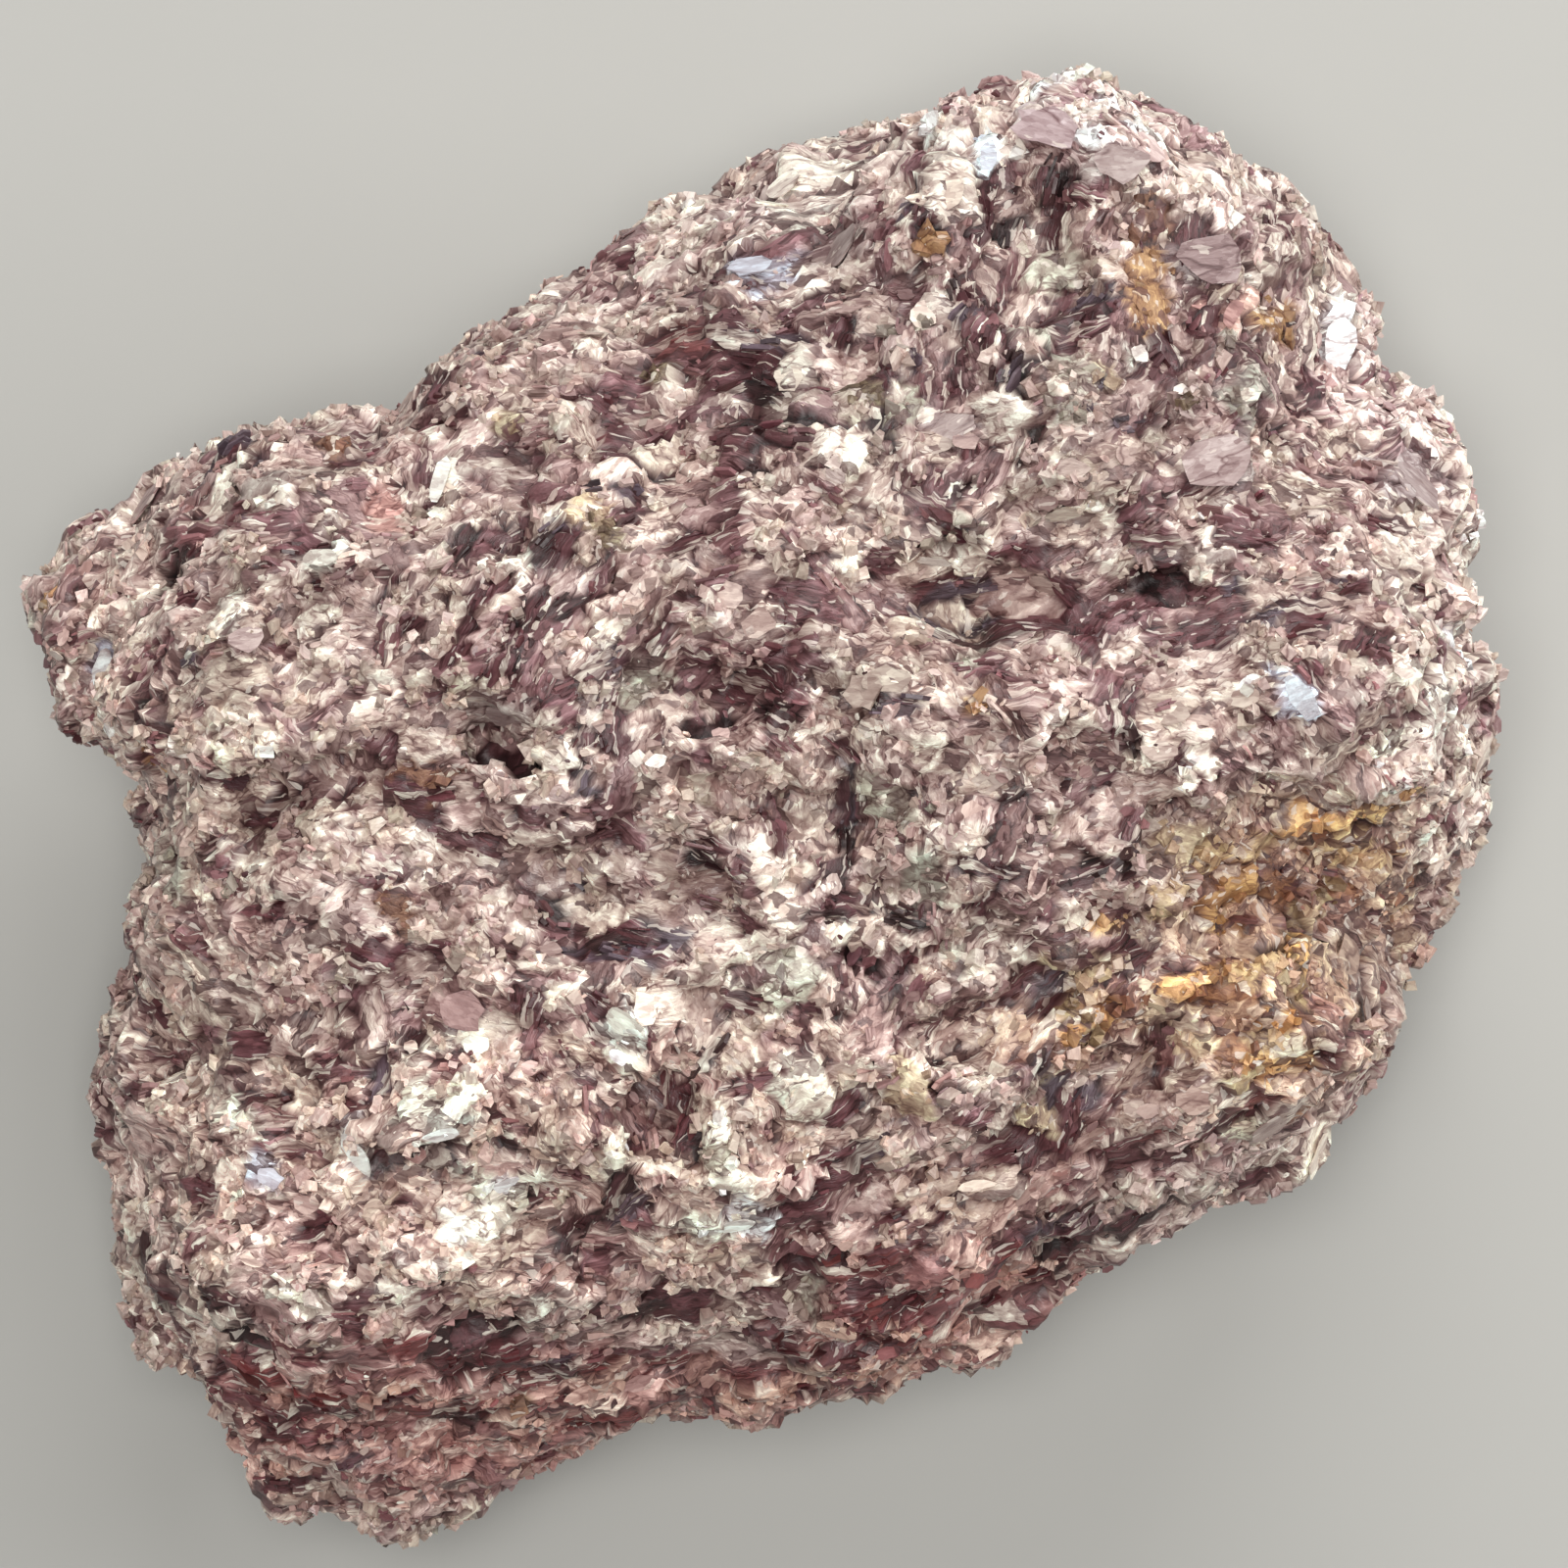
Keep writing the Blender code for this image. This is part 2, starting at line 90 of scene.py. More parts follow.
# Patches of the face, under what they are made of: centre across and down, half length, half
# width, and turn from level in degrees
PATCHES = {
    # Pits sunk into the rock and painted near-black as shade
    "gap": [
        (725, 730, 18, 12, 0), (515, 775, 32, 13, 0), (1092, 533, 30, 9, 32), (940, 235, 20, 10, -10),
        (1003, 236, 16, 8, 10), (455, 1187, 56, 9, 4), (395, 1191, 18, 12, 0), (1080, 1282, 26, 9, 12),
        (905, 445, 32, 7, 88), (1018, 466, 32, 7, 50), (985, 1110, 20, 9, 0), (832, 1301, 42, 12, 0),
        (150, 728, 18, 24, 0), (890, 996, 20, 11, 0), (1190, 600, 20, 10, 0), (1052, 372, 26, 13, 55),
        (700, 1152, 26, 10, 76), (488, 1368, 24, 12, -10), (245, 1372, 26, 13, -20),
    ],
    "plum": [
        (630, 456, 34, 30, -20), (755, 452, 42, 20, -25), (690, 474, 26, 14, -20),
        (790, 424, 36, 22, -20), (766, 355, 34, 25, -22), (485, 550, 26, 17, 60),
        (555, 556, 26, 18, 60), (545, 622, 44, 16, 60), (775, 702, 40, 15, -20),
        (600, 672, 36, 9, 25), (185, 540, 24, 15, 10), (176, 579, 22, 15, 10),
        (258, 812, 48, 9, -4), (415, 823, 24, 15, -10), (600, 815, 20, 13, 70),
        (586, 760, 24, 10, 80), (595, 948, 56, 16, -6), (665, 955, 44, 15, -6),
        (735, 897, 38, 13, -18), (578, 918, 26, 16, -30), (1010, 656, 32, 20, 20),
        (905, 711, 52, 10, -10), (950, 530, 54, 10, -27), (1172, 594, 24, 11, 10),
        (1137, 695, 26, 18, 60), (1150, 742, 42, 13, 88), (1400, 645, 22, 18, 60),
        (858, 845, 36, 13, 82), (840, 880, 18, 13, 60), (890, 932, 44, 15, -10),
        (1040, 816, 22, 14, 30), (1130, 875, 38, 12, 30), (1058, 208, 36, 15, 74),
        (1110, 211, 26, 13, -20), (975, 280, 20, 9, 80), (1030, 380, 34, 20, 72),
        (1190, 335, 30, 12, -60), (930, 155, 24, 11, 60), (1175, 205, 18, 10, 80),
        (1175, 430, 22, 16, 20), (395, 1078, 38, 14, 55), (683, 1128, 44, 16, 76),
        (722, 1090, 30, 12, 60), (597, 1110, 20, 12, -20), (190, 1215, 26, 12, -10),
        # The patch at 155, 1276 is painted shade along the left outline
        (630, 1236, 28, 16, 60), (575, 1262, 24, 12, 60), (155, 1276, 34, 18, -60),
        (190, 1326, 42, 14, -6), (545, 1397, 56, 13, -8), (370, 1440, 40, 13, 6),
        (340, 1480, 26, 11, 0), (470, 1455, 20, 11, 50), (985, 1052, 46, 14, 40),
        (1070, 1084, 28, 14, 62), (1082, 1160, 44, 20, 80), (1120, 1110, 20, 13, 60),
        (1095, 1262, 40, 18, 20), (1165, 1252, 24, 14, 30), (1165, 976, 20, 16, 30),
        (1316, 1036, 20, 13, -20), (660, 1350, 60, 10, 2),
    ],
    "dusk": [
        (1205, 646, 48, 21, 12), (1065, 612, 34, 20, -40), (1118, 635, 28, 10, 60),
        (1035, 572, 34, 13, -16), (1335, 606, 32, 24, 10), (1385, 512, 28, 9, 5),
        (1265, 516, 32, 11, -10), (1295, 555, 24, 9, 0), (735, 580, 26, 11, 10),
        (690, 542, 24, 11, 10), (470, 625, 44, 11, 62), (475, 676, 28, 12, 10),
        (385, 630, 40, 12, 85), (335, 722, 26, 11, 60), (366, 772, 36, 9, 60),
        (620, 742, 18, 11, 80), (635, 855, 20, 12, -40), (555, 842, 32, 11, -10),
        (500, 882, 30, 10, -30), (220, 870, 18, 10, 20), (250, 930, 24, 12, 0),
        (70, 590, 26, 9, 65), (165, 650, 22, 13, -50), (420, 470, 26, 11, 85),
        (485, 480, 18, 13, 60), (285, 530, 18, 13, 0), (1060, 432, 24, 14, 20),
        (1315, 440, 28, 11, 10), (1320, 235, 17, 12, -40), (765, 195, 16, 10, 80),
        (786, 240, 13, 10, 60), (890, 262, 22, 12, 80), (925, 320, 15, 11, 80),
        (850, 352, 17, 12, 70), (620, 382, 28, 9, 10), (1285, 355, 24, 11, 0),
        (1310, 392, 20, 11, 80), (355, 1025, 30, 14, 60), (530, 1050, 36, 12, 88),
        (170, 1077, 32, 12, 0), (150, 1030, 22, 11, 0), (455, 1070, 18, 9, 10),
        (790, 1082, 28, 9, 10), (840, 1045, 24, 9, -10), (1010, 1156, 26, 18, 30),
        (1000, 895, 28, 10, -10), (1050, 935, 20, 11, -20), (1245, 1155, 20, 12, 70),
        (1185, 1080, 24, 9, 80), (730, 1332, 38, 9, -4), (850, 1342, 28, 10, 10),
        (915, 1276, 20, 11, 0), (800, 1384, 28, 13, 10), (820, 676, 44, 11, -21),
        (870, 1138, 20, 14, 60), (366, 976, 24, 9, 0), (436, 976, 16, 8, 0),
        (1500, 720, 18, 11, 0), (1196, 796, 14, 11, 40), (1155, 826, 16, 12, 60),
        (890, 585, 28, 10, -14), (1235, 246, 34, 30, 60), (1020, 292, 56, 15, 76),
        (710, 386, 48, 13, 12), (300, 1120, 36, 20, 20), (245, 1068, 32, 13, -6),
        (310, 1256, 30, 16, 10), (840, 1222, 36, 26, 30), (905, 1242, 24, 13, 30),
        (960, 1336, 44, 18, 26), (1142, 1190, 28, 20, 40), (1100, 322, 40, 12, 8),
        (280, 1470, 34, 14, 0), (430, 1408, 40, 14, 4), (640, 1392, 40, 12, 6),
        (765, 1412, 60, 12, 14), (560, 1445, 30, 12, 4), (330, 1390, 50, 14, 0),
    ],
    "red": [
        (690, 338, 30, 15, -10), (1190, 655, 30, 12, 12), (400, 1372, 50, 14, 0),
        (560, 1408, 60, 12, -4), (705, 1398, 50, 12, 6), (830, 1350, 50, 10, 14),
        (450, 1446, 50, 11, 3), (290, 1436, 40, 12, 0), (940, 1330, 40, 14, 22),
        (1010, 1300, 30, 12, 26), (880, 1300, 40, 10, 20), (620, 1462, 50, 10, 2),
        (240, 1400, 30, 12, 0), (1186, 1170, 24, 12, 20),
    ],
    "slate": [
        (240, 458, 42, 17, 6), (972, 620, 46, 19, -6), (1280, 1216, 32, 14, 15),
    ],
    "ochre": [
        (1182, 254, 60, 21, 84), (1322, 318, 28, 27, 0), (45, 608, 12, 12, 0),
        (945, 252, 13, 17, 0), (152, 782, 11, 12, 0), (1235, 1026, 26, 13, 0),
    ],
    "rust": [
        (411, 922, 20, 20, 0), (453, 806, 16, 14, 0), (350, 450, 15, 13, 0),
        (992, 716, 17, 13, 0), (1370, 856, 26, 20, 10), (1138, 1028, 30, 13, 0),
        (1348, 1128, 24, 13, 16),
    ],
    "olive": [
        (664, 370, 14, 13, 0), (526, 1441, 13, 11, 0), (1139, 381, 11, 10, 0),
        (1214, 405, 9, 10, 0), (592, 510, 22, 15, -20), (630, 540, 16, 12, 0),
        (1110, 1060, 26, 13, 0), (875, 390, 16, 12, 0),
    ],
    "tan": [
        (510, 426, 24, 13, 10), (1050, 1145, 24, 16, 76), (1110, 985, 20, 17, 0),
        (325, 480, 28, 14, 20),
    ],
    "tan_cream": [
        (930, 1118, 27, 24, -30), (1215, 855, 42, 22, 0), (1228, 1066, 20, 24, 0),
        (1180, 1044, 28, 13, 0), (1272, 1108, 30, 13, 6), (405, 1328, 30, 16, -16),
    ],
    "stain": [
        (1268, 868, 40, 10, 4), (1290, 1080, 40, 16, 6), (1400, 880, 34, 12, 0),
        (1260, 1000, 34, 14, 20), (1180, 930, 40, 16, 10), (1300, 980, 30, 12, 30),
    ],
    "amber": [
        (1395, 833, 44, 14, 12), (1260, 872, 34, 11, 10), (1336, 842, 24, 12, 20),
        (1455, 812, 30, 12, 10), (1310, 960, 26, 12, 30), (1122, 1003, 34, 11, 10),
        (1205, 1010, 26, 10, 0), (1296, 1098, 40, 12, 6), (1130, 955, 20, 10, 0),
    ],
    "brown": [
        (1290, 912, 50, 18, 0), (1370, 908, 34, 14, 0), (1436, 910, 22, 16, 0),
        (1320, 1040, 30, 12, 10), (1255, 950, 22, 12, 0), (1095, 1040, 30, 10, 0),
        (1150, 1034, 50, 11, 6), (1306, 962, 20, 14, 60), (1232, 985, 22, 10, 20),
        (1345, 870, 18, 10, 30), (1332, 1004, 12, 18, 0),
    ],
    "green": [
        (172, 885, 26, 38, 0), (905, 820, 34, 28, 0), (655, 706, 30, 30, 0),
        (822, 1000, 27, 30, 0), (980, 976, 16, 26, 0), (728, 1172, 29, 19, 0),
        (990, 1255, 18, 11, 20), (932, 904, 28, 18, 0), (602, 1195, 12, 14, 0),
        (1092, 268, 38, 29, 0), (1084, 394, 34, 30, 0), (1252, 402, 44, 18, 0),
        (985, 560, 30, 20, 0),
    ],
    "cream": [
        (845, 460, 42, 18, 5), (672, 783, 32, 14, 10), (655, 808, 13, 20, 0),
        (952, 772, 28, 20, 10), (870, 756, 38, 13, -4), (275, 880, 34, 18, 0),
        (735, 1236, 42, 34, 18), (515, 1222, 38, 19, 4), (480, 1254, 34, 20, 0),
        (435, 1146, 42, 12, 14), (482, 1102, 24, 17, 60), (310, 960, 15, 14, 0),
        (755, 970, 28, 14, 20), (798, 915, 24, 44, 0), (566, 1010, 27, 10, 10),
        (640, 1176, 20, 15, 0), (1040, 982, 46, 15, 4), (1090, 385, 26, 19, 0),
        (325, 686, 32, 11, 10), (216, 742, 13, 38, 0), (262, 750, 15, 23, 0),
        (235, 625, 26, 22, 0), (310, 625, 17, 19, 0), (765, 1310, 18, 15, 0),
        (300, 1332, 32, 14, -28), (995, 866, 20, 14, 0), (1445, 770, 36, 15, 0),
        (205, 942, 20, 11, -20), (605, 642, 46, 10, 20), (760, 536, 32, 11, 18),
        (880, 551, 56, 11, -8), (960, 582, 42, 12, -14), (840, 1104, 42, 28, 10),
        (1235, 566, 18, 15, 0), (345, 526, 14, 13, 0), (265, 497, 28, 12, 18),
        (515, 906, 18, 12, 60), (155, 476, 28, 11, 20), (125, 530, 20, 15, 0),
    ],
    "cream_pink": [
        (330, 640, 30, 18, 0), (930, 560, 30, 14, -10), (625, 900, 36, 16, 0),
        (782, 652, 26, 18, 0), (190, 817, 30, 13, 0), (740, 1376, 34, 16, 4),
        (842, 1361, 28, 11, 10), (640, 1430, 52, 15, 10), (1380, 290, 24, 14, -60),
        (1300, 270, 20, 20, 0), (290, 1410, 34, 11, 10), (395, 1475, 16, 12, 0),
    ],
    "pale": [
        (996, 426, 50, 22, 10), (1116, 530, 46, 22, 0), (1196, 154, 52, 20, -24),
        (828, 194, 52, 30, 20), (972, 202, 38, 24, 0), (900, 314, 28, 20, 0),
        (1050, 600, 34, 18, 10), (240, 690, 44, 30, 0), (900, 690, 50, 22, 0),
        (770, 600, 40, 22, 10), (480, 1050, 40, 20, 0), (250, 820, 36, 20, 0),
        (1070, 892, 42, 38, 0), (1230, 703, 50, 18, 0), (1360, 768, 52, 20, 0),
        (1190, 762, 28, 15, 0), (1140, 470, 50, 20, 0), (1460, 680, 50, 20, 0),
        (720, 226, 28, 13, 20), (820, 276, 32, 13, 0), (140, 1150, 30, 34, 0),
        (190, 986, 28, 14, -28), (1205, 1172, 28, 18, -30), (1150, 1130, 18, 15, 0),
        (1330, 500, 30, 20, 0), (1440, 556, 38, 22, 0), (520, 1285, 42, 26, 0),
        (375, 1232, 16, 25, 0), (590, 1082, 24, 11, 0), (690, 1066, 18, 11, 60),
        (1245, 415, 28, 15, 0), (815, 376, 20, 19, 0), (610, 332, 26, 16, 20),
        (950, 440, 42, 13, 0), (870, 302, 28, 14, 40), (940, 300, 18, 22, 0),
        (1340, 1190, 42, 13, 35), (440, 872, 32, 10, -28), (420, 752, 22, 16, 0),
        (1000, 1210, 32, 9, 0), (1060, 1230, 32, 11, 20), (830, 168, 52, 20, 10),
        (950, 190, 28, 18, 0), (1210, 162, 54, 13, -14), (1440, 592, 44, 13, 0),
        (1496, 808, 22, 15, 0), (680, 1020, 18, 26, 0), (1000, 810, 26, 18, 0),
        # The patch at 1480, 500 is painted light on the east rim
        (1290, 192, 28, 16, -30), (1350, 216, 18, 18, -50), (1480, 500, 12, 46, -10),
    ],
    # Glints, painted as bright plates of warm white and bluish white
    "glint": [
        (443, 492, 11, 32, -6), (316, 576, 26, 11, 4), (355, 1178, 12, 27, 24),
        (1168, 352, 11, 10, 20), (1218, 386, 15, 8, 5), (1180, 1000, 9, 8, 0),
        (1352, 878, 8, 8, 0), (672, 780, 16, 9, 10), (1265, 706, 10, 8, 0), (966, 574, 20, 5, -34),
        (736, 1262, 26, 12, 10), (523, 1212, 18, 12, 0), (438, 1148, 22, 7, 14),
    ],
    "blue_glint": [
        (757, 266, 38, 19, 4), (1006, 138, 11, 22, -8), (95, 675, 17, 17, 0),
        (630, 1060, 24, 17, -40), (1372, 340, 16, 38, 14), (284, 1214, 13, 9, -40),
        (1332, 712, 13, 32, 24),
    ],
    "pink": [(1267, 317, 12, 26, -18), (1234, 314, 13, 11, 0), (395, 510, 15, 24, 8)],
    "lilac_plate": [
        (1232, 268, 34, 24, 10),
        (1440, 478, 34, 34, -30), (975, 425, 40, 20, 20), (1250, 474, 30, 20, 10),
        (452, 1030, 36, 26, -8), (1382, 968, 40, 32, -30), (1398, 1032, 44, 20, -20),
        (1310, 1140, 30, 20, 28), (1060, 120, 34, 22, -20), (150, 505, 40, 18, 20),
        (500, 730, 30, 22, 0), (1130, 160, 26, 18, 0), (860, 250, 40, 20, 10),
        (1215, 1105, 22, 20, 0), (270, 655, 20, 12, 0),
    ],
}

# The forms that a grain can have
BOOK, PLATE, LUMP, HOLE = range(4)

# What each kind of patch is made of: its grains' form, colours and their shares, shine, and
# how much of the patch they fill
KINDS = {
    "ochre": (LUMP, [(OCHRE, 0.75), (RUST, 0.25)], 0.15, 1.0),
    "rust": (LUMP, [(RUST, 0.5), (OCHRE, 0.5)], 0.2, 1.0),
    "olive": (LUMP, [(OLIVE, 0.8), (TAN, 0.2)], 0.3, 1.0),
    "tan": (LUMP, [(TAN, 0.7), (PALE_GREY, 0.3)], 0.3, 0.9),
    "tan_cream": (LUMP, [(CREAM, 0.6), (TAN, 0.4)], 0.4, 0.9),
    "amber": (LUMP, [(AMBER, 0.6), (TAN, 0.3), (CREAM, 0.1)], 0.4, 0.95),
    "brown": (LUMP, [(RUST, 0.5), (OLIVE, 0.2), (OCHRE, 0.3)], 0.3, 0.95),
    "stain": (LUMP, [(TAN, 0.42), (OCHRE, 0.26), (PALE_PINK, 0.22), (RUST, 0.1)], 0.3, 0.9),
    "green": (LUMP, [(GREEN_GREY, 0.7), (PALE_GREY, 0.3)], 0.5, 0.95),
    "slate": (BOOK, [(SLATE, 0.7), (PLUM, 0.3)], 0.6, 0.95),
    "dusk": (BOOK, [(DUSKY, 0.38), (PLUM, 0.47), (LILAC, 0.15)], 0.6, 0.95),
    # A third of these book grains are painted near-black as shade
    "plum": (BOOK, [(PLUM, 0.38), (SLATE, 0.16), (DUSKY, 0.12), (GAP_SHADE, 0.34)], 0.6, 1.0),
    "red": (BOOK, [(RED, 0.7), (PLUM, 0.3)], 0.5, 0.95),
    # Sunk pits, painted near-black as shade
    "gap": (HOLE, [(GAP_SHADE, 0.8), (PLUM, 0.2)], 0.2, 0.95),
    "cream": (LUMP, [(CREAM, 0.75), (PALE_PINK, 0.25)], 0.5, 0.9),
    "cream_pink": (PLATE, [(CREAM, 0.35), (PALE_PINK, 0.45), (LILAC_GREY, 0.2)], 0.5, 0.8),
    "pale": (PLATE, [(PALE_GREY, 0.5), (CREAM, 0.3), (LILAC_GREY, 0.2)], 0.5, 0.75),
    # Glints, painted as bright plates
    "glint": (PLATE, [(GLINT, 1.0)], 0.8, 1.0),
    "blue_glint": (PLATE, [(BLUE_WHITE, 0.8), (GLINT, 0.2)], 0.95, 1.0),
    "pink": (PLATE, [(PINK, 1.0)], 0.5, 1.0),
    "lilac_plate": (PLATE, [(PLATE_LILAC, 0.8), (LILAC, 0.2)], 0.7, 0.8),
}

# What grains of each form are made of where nothing is named, palest first: a colour and
# its share
ROCK = {
    BOOK: [(PALE_PINK, 0.08), (LILAC_GREY, 0.16), (LILAC, 0.22), (DUSKY, 0.26), (PLUM, 0.2),
           (SLATE, 0.08)],
    PLATE: [(CREAM, 0.06), (PALE_PINK, 0.28), (LILAC_GREY, 0.36), (LILAC, 0.2), (DUSKY, 0.1)],
    LUMP: [(CREAM, 0.1), (PALE_PINK, 0.28), (PALE_GREY, 0.3), (LILAC_GREY, 0.26),
           (GREEN_GREY, 0.06)],
}

# Broad parts of the face with painted light and shade: the rims, crest, shelves, sides and low face
# are painted paler as lit, and the upper face and valley darker as shaded. The strip under the rim is
# painted darker as shade and is redder in its own colour, red_south is redder in its own colour, and
# the amber parts are the stain's own colour. Each has its centre across and down, half length, half
# width, turn from level in degrees, and what red, green and blue are multiplied by
PAINTED_LIGHT_AND_TINT_ZONES = {
    "upper_face": (1020, 340, 360, 170, 0, (0.82, 0.81, 0.82)),
    "valley": (1120, 640, 100, 50, 18, (0.86, 0.82, 0.83)),
    "east_rim_high": (1395, 375, 46, 90, 20, (1.5, 1.6, 1.7)),
    "east_rim_middle": (1480, 580, 52, 170, 8, (1.38, 1.5, 1.55)),
    "east_rim_low": (1480, 800, 80, 80, 10, (1.36, 1.46, 1.45)),
    "crest_rim": (1200, 155, 150, 50, -22, (1.36, 1.46, 1.52)),
    "crest_top": (1050, 115, 110, 50, 0, (1.32, 1.39, 1.43)),
    "north_shelf": (690, 250, 120, 44, 28, (1.26, 1.34, 1.38)),
    "north_edge": (880, 170, 120, 42, 20, (1.32, 1.42, 1.44)),
    "east_middle": (1290, 750, 130, 70, 0, (1.16, 1.18, 1.18)),
    "south_east_face": (1290, 1150, 120, 55, 35, (1.12, 1.14, 1.16)),
    "left_edge": (200, 860, 130, 330, 5, (1.18, 1.18, 1.16)),
    "lobe": (120, 590, 110, 150, 0, (1.16, 1.17, 1.18)),
    "low_face": (520, 1190, 400, 160, 5, (1.42, 1.39, 1.35)),
    "strip": (410, 1450, 300, 84, 0, (1.02, 0.71, 0.69)),
    "strip_east": (900, 1372, 230, 54, 20, (1.0, 0.71, 0.66)),
    "red_south": (1000, 1230, 190, 50, 26, (0.98, 0.86, 0.83)),
    "amber": (1320, 930, 135, 110, 0, (1.14, 1.0, 0.76)),
    "amber_channel": (1170, 1040, 150, 48, 8, (1.1, 0.96, 0.76)),
    "amber_foot": (1300, 1090, 110, 55, 20, (1.1, 1.0, 0.84)),
}

# Which way the books run on the face: a place, and the direction from level in degrees
FLOW = {
    "lobe": (130, 560, 25), "upper_left": (330, 520, -12), "left": (250, 720, 4),
    "groove": (300, 805, -2), "left_low": (260, 990, -10), "west_band": (515, 560, 68),
    "north_books": (680, 370, -26), "north_mid": (780, 430, -18), "crest_gully": (950, 420, 82),
    "crest": (1040, 250, 74), "crest_east": (1230, 250, 60), "top": (1080, 120, -25),
    "dark_lens": (1090, 520, 30), "middle": (960, 625, -16), "core": (800, 690, -21),
    "red": (1180, 640, 17), "east": (1330, 600, 8), "east_plates": (1340, 730, -52),
    "upright": (850, 850, 84), "core_left": (600, 680, 62), "mid_left": (500, 790, 0),
    "south_books": (540, 900, -26), "south_books_end": (680, 950, -6),
    "crevice": (670, 1100, -62), "west_low": (390, 1100, 9), "low_east": (1100, 1120, 50),
    "low_middle": (960, 1220, 26), "under": (700, 1370, 14), "foot": (320, 1420, 4),
    "stain": (1330, 980, -22), "south_east": (1250, 1180, 30), "north_slope": (720, 260, 10),
    "west_top": (450, 430, 18), "south_west": (250, 1240, -12),
}

# How far a place's direction reaches, how weakly it goes on further out, and the size of the
# waves in which the books run where the camera doesn't see
FLOW_REACH_PX = 75.0
FAR_FLOW_PX = 100.0
REST_OF_FLOW = 0.02
HIDDEN_FLOW = 14.0 * MM

# How much there is of everything, and the seed of every random draw
GROUND_STEP = 0.5 * MM
GRAINS = 8600
SHEETS_OF_BOOK = 3
BLOCKS_OF_LUMP = 4
CHIPS = 9000
CHIP_WIDTH = (0.2, 1.0)
SEED = 12

# The darkest that any colour gets, in linear light
LEAST_LIGHT = 0.004


def srgb(colour):
    """Linear numbers for an sRGB colour that is given from 0 to 255."""
    c = np.asarray(colour, float) / 255.0
    return np.where(c <= 0.04045, c / 12.92, ((c + 0.055) / 1.055) ** 2.4)


def unit(vectors):
    """Each vector at length 1."""
    return vectors / np.maximum(np.linalg.norm(vectors, axis=-1, keepdims=True), 1e-12)


def smooth_step(low, high, value):
    """From 0 below low to 1 above high, without corners."""
    t = np.clip((value - low) / (high - low), 0.0, 1.0)
    return t * t * (3.0 - 2.0 * t)


def waves(points, size, shift):
    """Smooth noise from about -1 to 1 at each point, in waves of this size."""
    moved = Vector((shift, 1.7 * shift, -0.6 * shift))
    return np.array([noise.noise(Vector(p) / size + moved) for p in points]) * 1.6


def in_view(points):
    """Where points appear, in pixels of the camera's view."""
    reach = (EYE[2] - FACE_LEVEL) / (EYE[2] - points[:, 2])
    across = VIEW_PX / 2 + (points[:, 0] - EYE[0]) * reach / PX
    down = VIEW_PX / 2 - (points[:, 1] - EYE[1]) * reach / PX
    return np.stack([across, down], axis=1)


def edge_ends(mesh):
    """The numbers of the two points of every edge."""
    ends = np.empty(len(mesh.edges) * 2, np.int32)
    mesh.edges.foreach_get("vertices", ends)
    return ends.reshape(-1, 2)


def tree_of(points):
    """A search tree of points, which finds the nearest by their numbers."""
    tree = kdtree.KDTree(len(points))
    for number, point in enumerate(points):
        tree.insert(point, number)
    tree.balance()
    return tree


# The ground: the CAD solid's own surface, with points close together


# The turn, in radians, at which the even quads are laid, so that no rows of them face the view
ASKEW = (0.55, 0.35, 0.6)
WELD = 1e-6


def welded_solid():
    """The CAD solid as one closed mesh."""
    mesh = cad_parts["lepidolite"].data.copy()
    bm = bmesh.new()
    bm.from_mesh(mesh)
    bmesh.ops.remove_doubles(bm, verts=bm.verts[:], dist=WELD)
    bm.to_mesh(mesh)
    bm.free()
    return mesh


def remeshed(mesh, step):
    """The same form in even quads of this size."""
    askew = Euler(ASKEW).to_matrix().to_4x4()
    mesh.transform(askew)
    obj = bpy.data.objects.new("form", mesh)
    bpy.context.scene.collection.objects.link(obj)
    even = obj.modifiers.new("even", "REMESH")
    even.mode = "VOXEL"
    even.voxel_size = step
    bpy.context.view_layer.update()
    graph = bpy.context.evaluated_depsgraph_get()
    made = bpy.data.meshes.new_from_object(obj.evaluated_get(graph), depsgraph=graph)
    bpy.data.objects.remove(obj, do_unlink=True)
    made.transform(askew.inverted())
    return made


def read(mesh, what):
    """One vector of each point of a mesh, by its name."""
    found = np.empty(len(mesh.vertices) * 3, np.float32)
    mesh.vertices.foreach_get(what, found)
    return found.reshape(-1, 3).astype(float)


# How much of a normal must face the camera, how often the normals are averaged, and how many
# points near a place of the view are tried
LEAST_FACING = 0.05
SMOOTHINGS = 10
NEAR_IN_VIEW = 12


class Surface:
    """The stone's surface: even points with outward normals, to place things on."""

    def __init__(self, mesh):
        self.points = read(mesh, "co")
        self.out = read(mesh, "normal")
        self.broad = self.averaged_normals(mesh)
        self.facing = np.flatnonzero(self.out[:, 2] > LEAST_FACING)
        seen = in_view(self.points[self.facing])
        self.view_tree = tree_of(np.column_stack([seen, np.zeros(len(seen))]))

    def averaged_normals(self, mesh):
        """Normals without the facets: each one the mean of those round it."""
        edges = edge_ends(mesh)
        mean = self.out.copy()
        for _ in range(SMOOTHINGS):
            summed = mean.copy()
            np.add.at(summed, edges[:, 0], mean[edges[:, 1]])
            np.add.at(summed, edges[:, 1], mean[edges[:, 0]])
            mean = unit(summed)
        return mean

    def places(self, count, chooser):
        """The numbers of points taken at random."""
        return chooser.integers(0, len(self.points), count)

    def seen_at(self, across, down):
        """Number of the point that is seen at a place of the camera's view."""
        near = self.view_tree.find_n((across, down, 0.0), NEAR_IN_VIEW)
        return max((self.facing[number] for _, number, _ in near), key=lambda k: self.points[k][2])


# The rock's grains: what each place on the surface is made of


